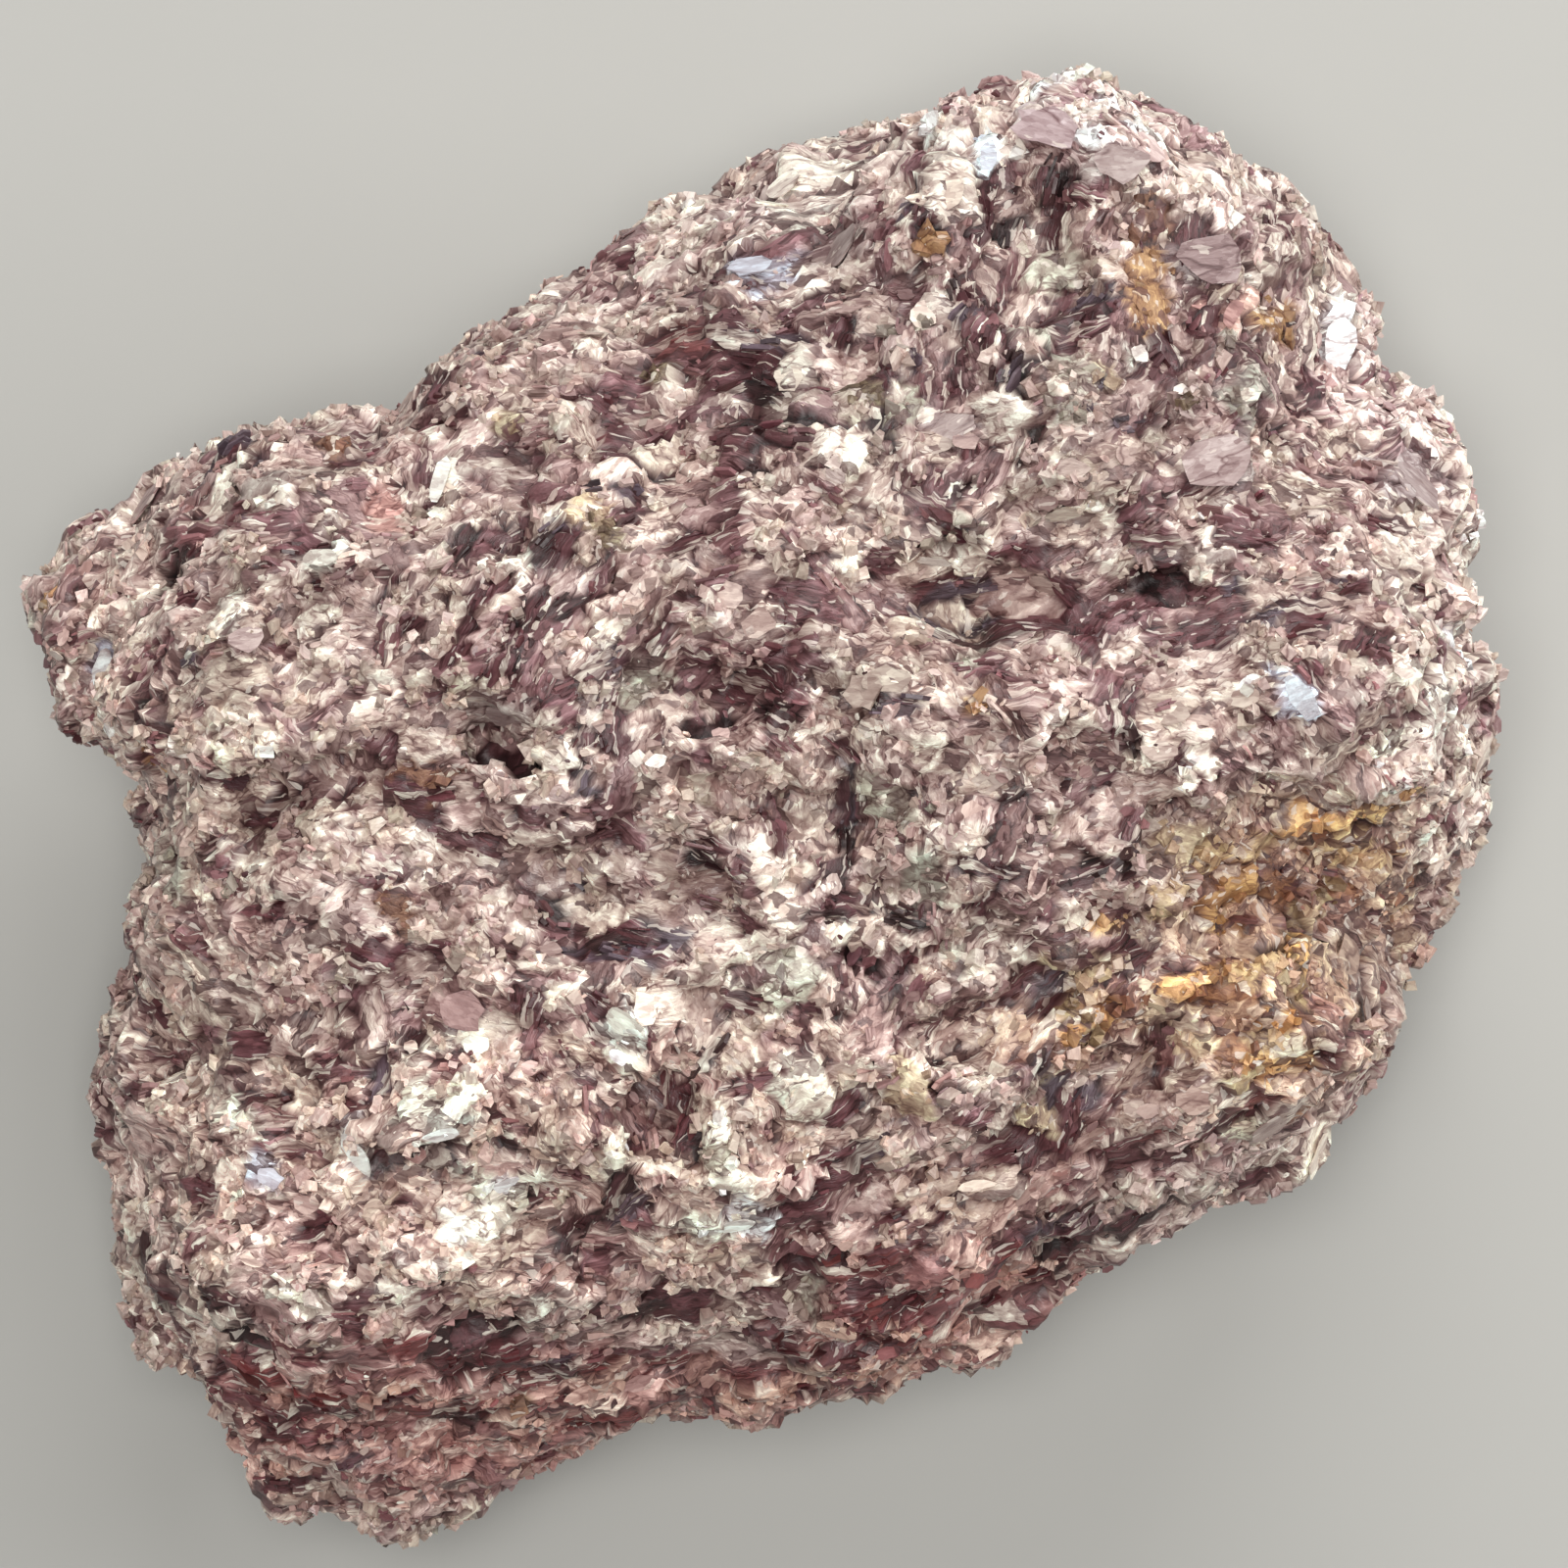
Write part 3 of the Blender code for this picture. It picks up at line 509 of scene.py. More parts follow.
def flow(points, out):
    """Unit direction along the surface in which the books run at each point."""
    seen = in_view(points)
    turned = np.zeros((len(points), 2))
    for across, down, degrees in FLOW.values():
        away = (seen[:, 0] - across) ** 2 + (seen[:, 1] - down) ** 2
        weight = np.exp(-away / (2.0 * FLOW_REACH_PX**2))
        weight += REST_OF_FLOW / (1.0 + away / FAR_FLOW_PX**2)
        double = 2.0 * math.radians(degrees)
        turned += weight[:, None] * np.array([math.cos(double), math.sin(double)])
    angle = np.arctan2(turned[:, 1], turned[:, 0]) / 2.0
    level = np.stack([np.cos(angle), np.sin(angle), np.zeros(len(points))], axis=1)
    lost = np.stack([waves(points, HIDDEN_FLOW, 60.0 + 7.0 * k) for k in range(3)], axis=1)
    facing = smooth_step(-0.2, 0.4, out[:, 2])[:, None]
    along = level * facing + unit(lost) * (1.0 - facing)
    along -= out * (along * out).sum(axis=1, keepdims=True)
    return unit(along)


# How far, in pixels, the rims of the broad parts stray, and where they start and stop to fade
ZONE_STRAY_PX = 18.0
ZONE_FADE = (0.6, 1.35)


def painted_light_and_tint_factors(points, out):
    """Painted light and shade, and tints, by which the broad parts change red, green and blue at each
    point.
    """
    seen = in_view(points)
    stray = [waves(points, 4.0 * MM, 140.0 + 9.0 * k) for k in range(2)]
    seen += ZONE_STRAY_PX * np.stack(stray, axis=1)
    facing = smooth_step(-0.35, 0.1, out[:, 2])
    factors = np.ones((len(points), 3))
    for across, down, half_length, half_width, turn, change in PAINTED_LIGHT_AND_TINT_ZONES.values():
        along, aside = own_place(seen, across, down, turn)
        away = np.hypot(along / half_length, aside / half_width)
        inside = facing * (1.0 - smooth_step(*ZONE_FADE, away))
        factors *= 1.0 + inside[:, None] * (np.array(change) - 1.0)
    return factors


def own_place(seen, across, down, turn):
    """Places in the view, along and across a line that is turned from level by degrees."""
    a = math.radians(turn)
    dx = seen[:, 0] - across
    dy = down - seen[:, 1]
    return dx * math.cos(a) + dy * math.sin(a), dy * math.cos(a) - dx * math.sin(a)


def turned_by(along, out, turn):
    """The direction along, turned about out by an angle."""
    across = np.cross(out, along)
    return along * np.cos(turn)[:, None] + across * np.sin(turn)[:, None]


# Half lengths of the grains in mm, and their widths as shares of the lengths
HALF_LENGTH = {BOOK: (0.6, 1.7), PLATE: (0.6, 1.5), LUMP: (0.5, 1.4)}
SLENDERNESS = {BOOK: (0.22, 0.5), PLATE: (0.45, 0.9), LUMP: (0.5, 0.95)}

# How strongly a broad part's painted light, shade and tint change the grains' colours, and which
# grains there are
ZONE_LIGHT_AND_TINT = 0.75
ZONE_MIX = 1.6

# Shares of books, and of books and plates, where the rock is neither dark nor pale
MOST_BOOK = 0.32
MOST_PLATE = 0.62

# Dark and pale rock lies in patches of two sizes, and is a little dark on the whole. Its
# darkness goes some way to books, and some way to the darker colours, which also vary by chance
BROAD_PATCH = 6.0 * MM
FINE_PATCH = 2.6 * MM
PATCH_STRENGTH = 0.6
DARK_ON_THE_WHOLE = 0.05
DARK_TO_BOOKS = 0.16
DARK_TO_COLOUR = 0.62
CHANCE_OF_COLOUR = 0.6


def rock_kinds(points, out, chooser):
    """Which form the grains have where nothing is named, and their colours."""
    count = len(points)
    dark = PATCH_STRENGTH * waves(points, BROAD_PATCH, 40.0)
    dark += PATCH_STRENGTH * waves(points, FINE_PATCH, 51.0) + DARK_ON_THE_WHOLE
    # The broad parts' painted shade and light also pick darker or paler grains, and books in painted
    # shade
    dark -= ZONE_MIX * np.log(painted_light_and_tint_factors(points, out).mean(axis=1))
    pick = chooser.random(count) - DARK_TO_BOOKS * dark
    form = np.where(pick < MOST_BOOK, BOOK, np.where(pick < MOST_PLATE, PLATE, LUMP))
    colours = np.empty((count, 3))
    for kind, mix in ROCK.items():
        of_kind = form == kind
        level = chooser.normal(0.0, CHANCE_OF_COLOUR, int(of_kind.sum()))
        level += dark[of_kind] * DARK_TO_COLOUR
        shares = np.array([share for _, share in mix])
        bounds = np.cumsum(shares)[:-1] / shares.sum()
        spread = 0.5 * (1.0 + np.tanh(level * 0.9))
        palette = np.array([srgb(colour) for colour, _ in mix])
        colours[of_kind] = palette[np.searchsorted(bounds, spread)]
    return form, colours


# A search among the grains: how many near ones are tried, and the rims' forms: a book's is a
# lens of this power, and the others' are hexagons, by the directions of their sides
NEAR_GRAINS = 14
LENS_POWER = 1.35
HEXAGON = [(math.cos(math.radians(a)), math.sin(math.radians(a))) for a in (0, 60, 120)]

# How a named patch is filled: its grains' largest half length, and their width as a share of it
LARGEST_GRAIN_PX = {BOOK: 27, PLATE: 30, LUMP: 22, HOLE: 24}
NAMED_WIDTH = {BOOK: 0.4, PLATE: 0.9, LUMP: 0.9, HOLE: 0.6}

# Where a patch ends as a share of its half sizes, how far its grains stray from even rows as a
# share of their size, how much larger they are than their share of it, and their turn in radians
PATCH_RIM = 0.95
PATCH_JITTER = 0.4
NAMED_GROWTH = 1.1
NAMED_TURN = 0.14

# Dark patches lose their rims to the paler chips, so they are made larger
DARK_KINDS = ("gap", "plum", "dusk", "red")
DARK_GROWTH = 1.14


class Grains:
    """Every grain's place, own axes, half sizes in mm, form, colour and shine."""

    def __init__(self, surface, count, chooser):
        spots = surface.places(count, chooser)
        self.points = surface.points[spots]
        self.out = surface.broad[spots]
        self.form, self.colours = rock_kinds(self.points, self.out, chooser)
        self.shine = chooser.beta(2.0, 2.0, count)
        length = np.empty(count)
        width = np.empty(count)
        for form in (BOOK, PLATE, LUMP):
            one = self.form == form
            length[one] = chooser.uniform(*HALF_LENGTH[form], int(one.sum()))
            width[one] = length[one] * chooser.uniform(*SLENDERNESS[form], int(one.sum()))
        self.half = np.stack([length, width], axis=1)
        turn = chooser.normal(0.0, 1.0, count) * np.where(self.form == BOOK, 0.3, 0.5)
        self.along = turned_by(flow(self.points, self.out), self.out, turn)
        self.add_named(surface, chooser)
        count = len(self.points)
        self.level = chooser.uniform(-1.0, 1.0, count)
        self.tilt = chooser.normal(0.0, 1.0, (count, 2))
        self.lopsided = chooser.uniform(-0.22, 0.22, (count, 3))
        self.across = np.cross(self.out, self.along)
        self.tree = tree_of(self.points)

    def add_named(self, surface, chooser):
        """Puts the named patches in, and takes out the grains that they replace."""
        seen = in_view(self.points)
        keep = np.ones(len(self.points), bool)
        added = []
        named = [(*patch, kind) for kind, patches in PATCHES.items() for patch in patches]
        for across, down, half_length, half_width, turn, kind in named:
            a = math.radians(turn)
            if kind in DARK_KINDS:
                half_length *= DARK_GROWTH
                half_width *= DARK_GROWTH
            along, aside = own_place(seen, across, down, turn)
            outside = np.hypot(along / half_length, aside / half_width) > PATCH_RIM
            keep &= outside | (self.out[:, 2] < 0.0)
            form, mix, shine, fullness = KINDS[kind]
            colours = np.array([srgb(colour) for colour, _ in mix])
            shares = np.array([share for _, share in mix])
            grain = LARGEST_GRAIN_PX[form]
            length = min(half_length, grain)
            width = min(half_width, grain * NAMED_WIDTH[form])
            rows = max(1, round(half_width / width))
            columns = max(1, round(half_length / length))
            for row in range(rows):
                for column in range(columns):
                    u = (2 * column + 1 - columns) * half_length / columns
                    v = (2 * row + 1 - rows) * half_width / rows
                    if columns * rows > 1:
                        u += chooser.uniform(-PATCH_JITTER, PATCH_JITTER) * length
                        v += chooser.uniform(-PATCH_JITTER, PATCH_JITTER) * width
                        if math.hypot(u / half_length, v / half_width) > 1.0:
                            continue
                        if chooser.random() > fullness:
                            continue
                    x = across + u * math.cos(a) - v * math.sin(a)
                    y = down - u * math.sin(a) - v * math.cos(a)
                    colour = colours[chooser.choice(len(mix), p=shares / shares.sum())]
                    sway = NAMED_GROWTH * chooser.uniform(0.85, 1.15, 2) * PX / MM
                    spot = surface.seen_at(x, y)
                    added.append((
                        surface.points[spot], surface.broad[spot], form, colour, shine,
                        (length * sway[0], width * sway[1]),
                        a + chooser.normal(0.0, NAMED_TURN),
                    ))
        gathered = [np.array(values) for values in zip(*added)]
        angle = gathered.pop()
        out = gathered[1]
        level = np.stack([np.cos(angle), np.sin(angle), np.zeros(len(angle))], axis=1)
        gathered.append(unit(level - out * (level * out).sum(axis=1, keepdims=True)))
        names = ("points", "out", "form", "colours", "shine", "half", "along")
        for name, values in zip(names, gathered):
            setattr(self, name, np.concatenate([getattr(self, name)[keep], values]))
        self.named = np.arange(len(self.points)) >= keep.sum()
        # Painted light and shade of the broad parts, and the strip's and the stain's tints, in the
        # grains' colours
        tint = painted_light_and_tint_factors(self.points, self.out) ** ZONE_LIGHT_AND_TINT
        self.colours = np.clip(self.colours * tint, LEAST_LIGHT, 0.9)

    def placed(self, own, lift, shift):
        """Places above the middles of grains, shifted along and across them."""
        return (
            self.points[own] + self.out[own] * lift[:, None]
            + self.along[own] * shift[:, :1] + self.across[own] * shift[:, 1:]
        )

    def nearest(self, points, shift):
        """For each point: its grain, how far it is from that one and the next, from 0 at a
        grain's middle to 1 at its rim, and its place in the grain's own axes in mm."""
        moved = points + shift
        found = np.array([
            [number for _, number, _ in self.tree.find_n(point, NEAR_GRAINS)] for point in moved
        ])
        away = (moved[:, None, :] - self.points[found]) / MM
        x = (away * self.along[found]).sum(axis=2)
        y = (away * self.across[found]).sum(axis=2)
        z = (away * self.out[found]).sum(axis=2)
        x /= self.half[found][:, :, 0]
        y /= self.half[found][:, :, 1]
        lens = (np.abs(x) ** LENS_POWER + np.abs(y) ** LENS_POWER) ** (1 / LENS_POWER)
        sides = np.stack([
            np.abs(x * c + y * s + self.lopsided[found][:, :, k])
            for k, (c, s) in enumerate(HEXAGON)
        ]).max(axis=0)
        far = np.where(self.form[found] == BOOK, lens, sides)
        far = np.sqrt(far**2 + (z / 1.5) ** 2)
        order = np.argsort(far, axis=1)[:, :2]
        rows = np.arange(len(points))
        first = order[:, 0]
        number = found[rows, first]
        place = np.stack([x[rows, first], y[rows, first]], axis=1) * self.half[number]
        return number, far[rows[:, None], order], place


# Shapes, made many at a time: corners are (thing, corner, axis) in each thing's own frame


def ring(count, corners, raggedness, chooser):
    """Unevenly spaced corners of a ragged outline of about unit radius."""
    angle = (np.arange(corners) + chooser.uniform(-0.32, 0.32, (count, corners))) / corners
    angle *= 2.0 * math.pi
    radius = 1.0 + chooser.uniform(-raggedness, raggedness, (count, corners))
    return np.stack([np.cos(angle) * radius, np.sin(angle) * radius], axis=2)


FLAKE_RAGGEDNESS = 0.16
FLAKE_CURL = 0.1
ROOT_DEPTH = 0.5
SHEET_RAGGEDNESS = 0.2


def flakes_shape(count, corners, chooser):
    """Thin plates with a sharp, slightly curled rim and a root that goes into the rock."""
    outline = ring(count, corners, FLAKE_RAGGEDNESS, chooser)
    shape = np.zeros((count, corners + 2, 3))
    shape[:, 1:-1, :2] = outline
    shape[:, 1:-1, 2] = chooser.normal(0.0, FLAKE_CURL, (count, corners))
    shape[:, 0, :2] = chooser.uniform(-0.25, 0.25, (count, 2))
    shape[:, 0, 2] = chooser.uniform(-0.02, 0.14, count)
    shape[:, -1, :2] = chooser.uniform(-0.2, 0.2, (count, 2))
    shape[:, -1, 2] = -ROOT_DEPTH
    around = np.arange(corners)
    after = (around + 1) % corners
    top = np.stack([np.zeros(corners, int), around + 1, after + 1], axis=1)
    root = np.stack([np.full(corners, corners + 1), after + 1, around + 1], axis=1)
    return shape, np.concatenate([top, root])


def sheets_shape(count, corners, chooser):
    """Sheets of even thickness, from -0.5 to 0.5 in height."""
    outline = ring(count, corners, SHEET_RAGGEDNESS, chooser)
    shape = np.zeros((count, 2 * corners, 3))
    shape[:, :corners, :2] = outline
    shape[:, corners:, :2] = outline * chooser.uniform(0.86, 1.02, (count, corners, 1))
    shape[:, :corners, 2] = 0.5
    shape[:, corners:, 2] = -0.5
    around = np.arange(corners)
    after = (around + 1) % corners
    fan = np.arange(1, corners - 1)
    top = np.stack([np.zeros(corners - 2, int), fan, fan + 1], axis=1)
    base = np.stack([np.zeros(corners - 2, int), fan + 1, fan], axis=1) + corners
    wall_a = np.stack([around, around + corners, after + corners], axis=1)
    wall_b = np.stack([around, after + corners, after], axis=1)
    return shape, np.concatenate([top, base, wall_a, wall_b])


def blocks_shape(count, chooser):
    """Blocky grains: cubes with every corner moved."""
    bm = bmesh.new()
    bmesh.ops.create_cube(bm, size=2.0)
    bmesh.ops.triangulate(bm, faces=bm.faces[:])
    cube = np.array([v.co for v in bm.verts])
    faces = np.array([[v.index for v in f.verts] for f in bm.faces])
    bm.free()
    shape = cube[None] + chooser.uniform(-0.55, 0.35, (count, len(cube), 3)) * np.sign(cube)[None]
    return shape, faces


# How many times further apart than in the stone the shapes lie in their material's patterns
APART = 7.0

# The least height above the floor, and the room round the CAD box as a share of its sides
LEAST_HEIGHT = 0.02 * MM
BOX_ROOM = 0.015


class Soup:
    """Many small closed shapes gathered into one mesh, each with its colour and shine."""

    def __init__(self, name):
        self.name = name
        self.parts = []
        self.corners = 0

    def add(self, made, frames, sizes, places, colours, shine):
        """frames has each shape's own x, y and z axes as rows, and sizes its three sizes."""
        shape, faces = made
        own = shape * sizes[:, None, :] / MM + places[:, None, :] / MM * APART
        moved = (shape * sizes[:, None, :]) @ frames + places[:, None, :]
        count, corners = moved.shape[:2]
        first = self.corners + np.arange(count) * corners
        triangles = (faces[None] + first[:, None, None]).reshape(-1, 3)
        self.parts.append((
            moved.reshape(-1, 3), triangles, np.repeat(colours, corners, axis=0),
            np.repeat(shine, corners), own.reshape(-1, 3),
        ))
        self.corners += count * corners

    def built(self, material):
        points, faces, colours, shine, own = (np.concatenate(p) for p in zip(*self.parts))
        points[:, 2] = np.maximum(points[:, 2], LEAST_HEIGHT)
        low, high = (np.array(corner) for corner in CAD_BOX)
        room = BOX_ROOM * (high - low)
        points = np.clip(points, low - room, high + room)
        obj = mesh_object(self.name, points, faces, material)
        paint(obj.data, "POINT", colours, {"shine": shine, "streaks": own})
        return obj


def mesh_object(name, points, faces, material):
    """A new object of triangles."""
    mesh = bpy.data.meshes.new(name)
    mesh.vertices.add(len(points))
    mesh.vertices.foreach_set("co", points.astype(np.float32).ravel())
    mesh.loops.add(faces.size)
    mesh.loops.foreach_set("vertex_index", faces.astype(np.int32).ravel())
    mesh.polygons.add(len(faces))
    mesh.polygons.foreach_set("loop_start", np.arange(0, faces.size, 3, dtype=np.int32))
    mesh.update(calc_edges=True)
    mesh.shade_flat()
    mesh.materials.append(material)
    obj = bpy.data.objects.new(name, mesh)
    bpy.context.scene.collection.objects.link(obj)
    return obj


def paint(mesh, domain, colours, values):
    """Gives each corner its tint, and the numbers and places that its material reads."""
    if colours is not None:
        tint = mesh.attributes.new("tint", "FLOAT_COLOR", domain)
        rgba = np.ones((len(colours), 4), np.float32)
        rgba[:, :3] = colours
        tint.data.foreach_set("color", rgba.ravel())
    for name, value in values.items():
        flat = value.astype(np.float32).ravel()
        if value.ndim == 1:
            mesh.attributes.new(name, "FLOAT", domain).data.foreach_set("value", flat)
        else:
            mesh.attributes.new(name, "FLOAT_VECTOR", domain).data.foreach_set("vector", flat)


# How many times less the hue changes than the lightness
HUE_CALM = 9


def shaded(colours, amount, chooser):
    """Each colour a little lighter or darker, with a slight change of hue."""
    value = np.exp(chooser.normal(0.0, amount, (len(colours), 1)))
    hue = np.exp(chooser.normal(0.0, amount / HUE_CALM, colours.shape))
    return np.clip(colours * value * hue, LEAST_LIGHT, 0.92)


# The pieces


# How far, in mm, a grain lies above or below the stone's own surface, and how steeply it tilts
LEVEL = {BOOK: 0.25, PLATE: 0.22, LUMP: 0.18}
BOOK_SUNK = 0.15
TILT = 0.22
MOST_TILT = 0.45
RIM_DEPTH = 0.16


def relief(grains, number, far, place):
    """How far in mm the ground stands out at a point of its grain, and how near its rim is."""
    form = grains.form[number]
    level = grains.level[number]
    ramp = TILT * (grains.tilt[number] * place).sum(axis=1)
    ramp = np.clip(ramp, -MOST_TILT, MOST_TILT)
    dome = np.clip(1.0 - far[:, 0] ** 2, 0.0, 1.0)
    height = np.select(
        [form == BOOK, form == PLATE, form == LUMP],
        [
            -BOOK_SUNK + LEVEL[BOOK] * level + 0.7 * ramp, LEVEL[PLATE] * level + ramp,
            LEVEL[LUMP] * level + 0.08 * dome + ramp,
        ],
        -0.9 * dome - 0.2,
    )
    rim = 1.0 - smooth_step(0.0, 0.45, far[:, 1] - far[:, 0])
    return height - RIM_DEPTH * rim, rim


def curvature(mesh, points, out):
    """Above 0 in hollows and below 0 on ridges, in mm."""
    edges = edge_ends(mesh)
    summed = np.zeros_like(points)
    degree = np.zeros(len(points))
    for a, b in ((0, 1), (1, 0)):
        np.add.at(summed, edges[:, a], points[edges[:, b]])
        np.add.at(degree, edges[:, a], 1.0)
    mean = summed / np.maximum(degree, 1.0)[:, None]
    return ((mean - points) * out).sum(axis=1) / MM


def warp(points):
    """A small shift of each point, in mm, that roughens the grains' borders."""
    return np.stack([
        waves(points, 1.3 * MM, 5.0 + 9.0 * k) + 0.6 * waves(points, 0.6 * MM, 35.0 + 9.0 * k)
        for k in range(3)
    ], axis=1)


# How far the grains' borders stray, and every point of the ground
BORDER_SHIFT = 0.24 * MM
JITTER = 0.13 * MM

# Painted shade and light: how much darker hollows are painted and how much paler ridges, the limits
# of that, and the painted shade in the crevices at the grains' rims
HOLLOW_SHADE_RIDGE_LIGHT = 4.2
TONE_LIMITS = (0.38, 1.5)
RIM_SHADE = 0.35

# How far apart, in the patterns of the ground's material, one grain lies from the next
GRAIN_APART = 40.0


def ground(mesh, surface, grains, chooser, material):
    """The stone's own surface, broken into its grains, each a little step or dome."""
    points = surface.points
    number, far, place = grains.nearest(points, BORDER_SHIFT * warp(points))
    height, rim = relief(grains, number, far, place)
    height += 0.13 * waves(points, 1.3 * MM, 90.0) + 0.08 * waves(points, 0.55 * MM, 95.0)
    jitter = chooser.uniform(-JITTER, JITTER, points.shape)
    jitter -= surface.broad * (jitter * surface.broad).sum(axis=1, keepdims=True)
    moved = points + surface.broad * height[:, None] * MM + jitter
    moved[:, 2] = np.maximum(moved[:, 2], 0.0)
    # Painted shade in hollows and in the crevices at the grains' rims, and painted light on ridges
    hollow = curvature(mesh, moved, surface.broad)
    tone = np.clip(np.exp(-HOLLOW_SHADE_RIDGE_LIGHT * hollow), *TONE_LIMITS)
    tone *= 1.0 - RIM_SHADE * rim * (waves(points, 1.6 * MM, 120.0) > 0)

    corners = np.empty(len(mesh.loops), np.int32)
    mesh.loops.foreach_get("vertex_index", corners)
    sizes = np.empty(len(mesh.polygons), np.int32)
    mesh.polygons.foreach_get("loop_total", sizes)
    middles = np.add.reduceat(points[corners], np.r_[0, np.cumsum(sizes)[:-1]]) / sizes[:, None]
    own, _, _ = grains.nearest(middles, BORDER_SHIFT * warp(middles))
    face = np.repeat(own, sizes)
    away = (points[corners] - grains.points[face]) / MM
    streaks = np.stack([
        (away * grains.along[face]).sum(axis=1), (away * grains.across[face]).sum(axis=1),
        grains.level[face] * GRAIN_APART,
    ], axis=1)
    colours = shaded(grains.colours, 0.12, chooser)
    form = grains.form[face]
    paint(mesh, "CORNER", None, {
        "shine": grains.shine[face], "streaks": streaks,
        "streaky": np.where(form == BOOK, 1.0, np.where(form == PLATE, 0.3, 0.0)),
    })
    paint(mesh, "POINT", colours[number], {"tone": tone})
    mesh.vertices.foreach_set("co", moved.astype(np.float32).ravel())
    mesh.update()
    mesh.materials.clear()
    mesh.materials.append(material)
    mesh.shade_smooth()
    obj = bpy.data.objects.new("rock_ground", mesh)
    bpy.context.scene.collection.objects.link(obj)
    return obj


def book_sheets(name, grains, sheets, chooser, material):
    """Books of mica seen from their edges: thin sheets that stand side by side in a grain."""
    own = np.flatnonzero(grains.form == BOOK)
    count = len(own)
    soup = Soup(name)
    side = chooser.uniform(-0.55, 0.55, count)
    normal = unit(grains.across[own] + grains.out[own] * side[:, None])
    rise = np.cross(normal, grains.along[own])
    height = -BOOK_SUNK + LEVEL[BOOK] * grains.level[own]
    base = grains.points[own] + grains.out[own] * height[:, None] * MM
    length = grains.half[own, 0] * MM
    width = grains.half[own, 1] * MM
    for sheet in range(sheets):
        step = (sheet + 0.5) / sheets * 2.0 - 1.0
        tall = chooser.uniform(0.3, 0.6, count) * MM
        yaw = chooser.normal(0.0, 0.12, count)[:, None]
        run = unit(grains.along[own] + normal * yaw)
        face_normal = unit(normal - grains.along[own] * yaw)
        frames = np.stack([run, rise, face_normal], axis=1)
        slid = chooser.normal(0.0, 0.3, count) * length
        sunk = chooser.uniform(-1.0, -0.55, count) * tall
        place = (
            base + grains.across[own] * (step * width)[:, None]
            + grains.along[own] * slid[:, None] + grains.out[own] * sunk[:, None]
        )
        sizes = np.stack([
            length * chooser.uniform(0.22, 0.6, count), tall,
            chooser.uniform(0.08, 0.26, count) * MM,
        ], axis=1)
        tone = 0.8 if sheet % 2 else 1.15
        tones = shaded(grains.colours[own] * tone, 0.22, chooser)
        soup.add(sheets_shape(count, 6, chooser), frames, sizes, place, tones, grains.shine[own])
    return soup.built(material)


# Named plates that are at least this shiny lie large, level and high
LARGE_SHINE = 0.7


def flat_plates(name, grains, chooser, material):
    """Mica plates that lie face up, one ragged sheet on each grain."""
    own = np.flatnonzero(grains.form == PLATE)
    count = len(own)
    large = grains.named[own] & (grains.shine[own] >= LARGE_SHINE)
    slope = chooser.normal(0.0, 0.14, (count, 2)) * (1.0 - 0.8 * large)[:, None]
    slope = 0.22 * grains.tilt[own] + slope
    normal = unit(
        grains.out[own] - grains.along[own] * slope[:, :1] - grains.across[own] * slope[:, 1:]
    )
    x = unit(np.cross(grains.across[own], normal))
    frames = np.stack([x, np.cross(normal, x), normal], axis=1)
    shift = chooser.normal(0.0, 0.28, (count, 2)) * grains.half[own] * MM
    lift = (LEVEL[PLATE] * grains.level[own] - 0.06 + 0.28 * large) * MM
    place = grains.placed(own, lift, shift)
    shrink = chooser.uniform(0.2, 0.52, count) + 0.2 * grains.named[own] + 0.25 * large
    sizes = np.stack([
        grains.half[own, 0] * shrink * MM, grains.half[own, 1] * shrink * MM,
        chooser.uniform(0.06, 0.14, count) * MM,
    ], axis=1)
    tones = shaded(grains.colours[own], 0.13, chooser)
    soup = Soup(name)
    soup.add(sheets_shape(count, 12, chooser), frames, sizes, place, tones, grains.shine[own])
    return soup.built(material)


def blocks(name, grains, each, chooser, material):
    """Blocky pale grains at every angle, crowded together."""
    own = np.repeat(np.flatnonzero(grains.form == LUMP), each)
    count = len(own)
    x = unit(chooser.normal(0.0, 1.0, (count, 3)))
    z = unit(np.cross(x, chooser.normal(0.0, 1.0, (count, 3))))
    frames = np.stack([x, np.cross(z, x), z], axis=1)
    shift = chooser.uniform(-0.8, 0.8, (count, 2)) * grains.half[own] * MM
    size = chooser.uniform(0.13, 0.42, count) * MM
    lift = (LEVEL[LUMP] * grains.level[own] - 0.05) * MM - 0.35 * size
    place = grains.placed(own, lift, shift)
    sizes = size[:, None] * chooser.uniform(0.5, 1.2, (count, 3))
    tones = shaded(grains.colours[own], 0.16, chooser)
    soup = Soup(name)
    soup.add(blocks_shape(count, chooser), frames, sizes, place, tones, grains.shine[own])
    return soup.built(material)


# A grain whose green is below this, in linear light, takes fewer pale chips
DARK_GRAIN = 0.12
# Shares of the chips: below the first they are painted as glints, below the next pale, and above the
# last dark
GLINT_CHIPS = 0.07
PALE_CHIPS = 0.2
DARK_CHIPS = 0.9


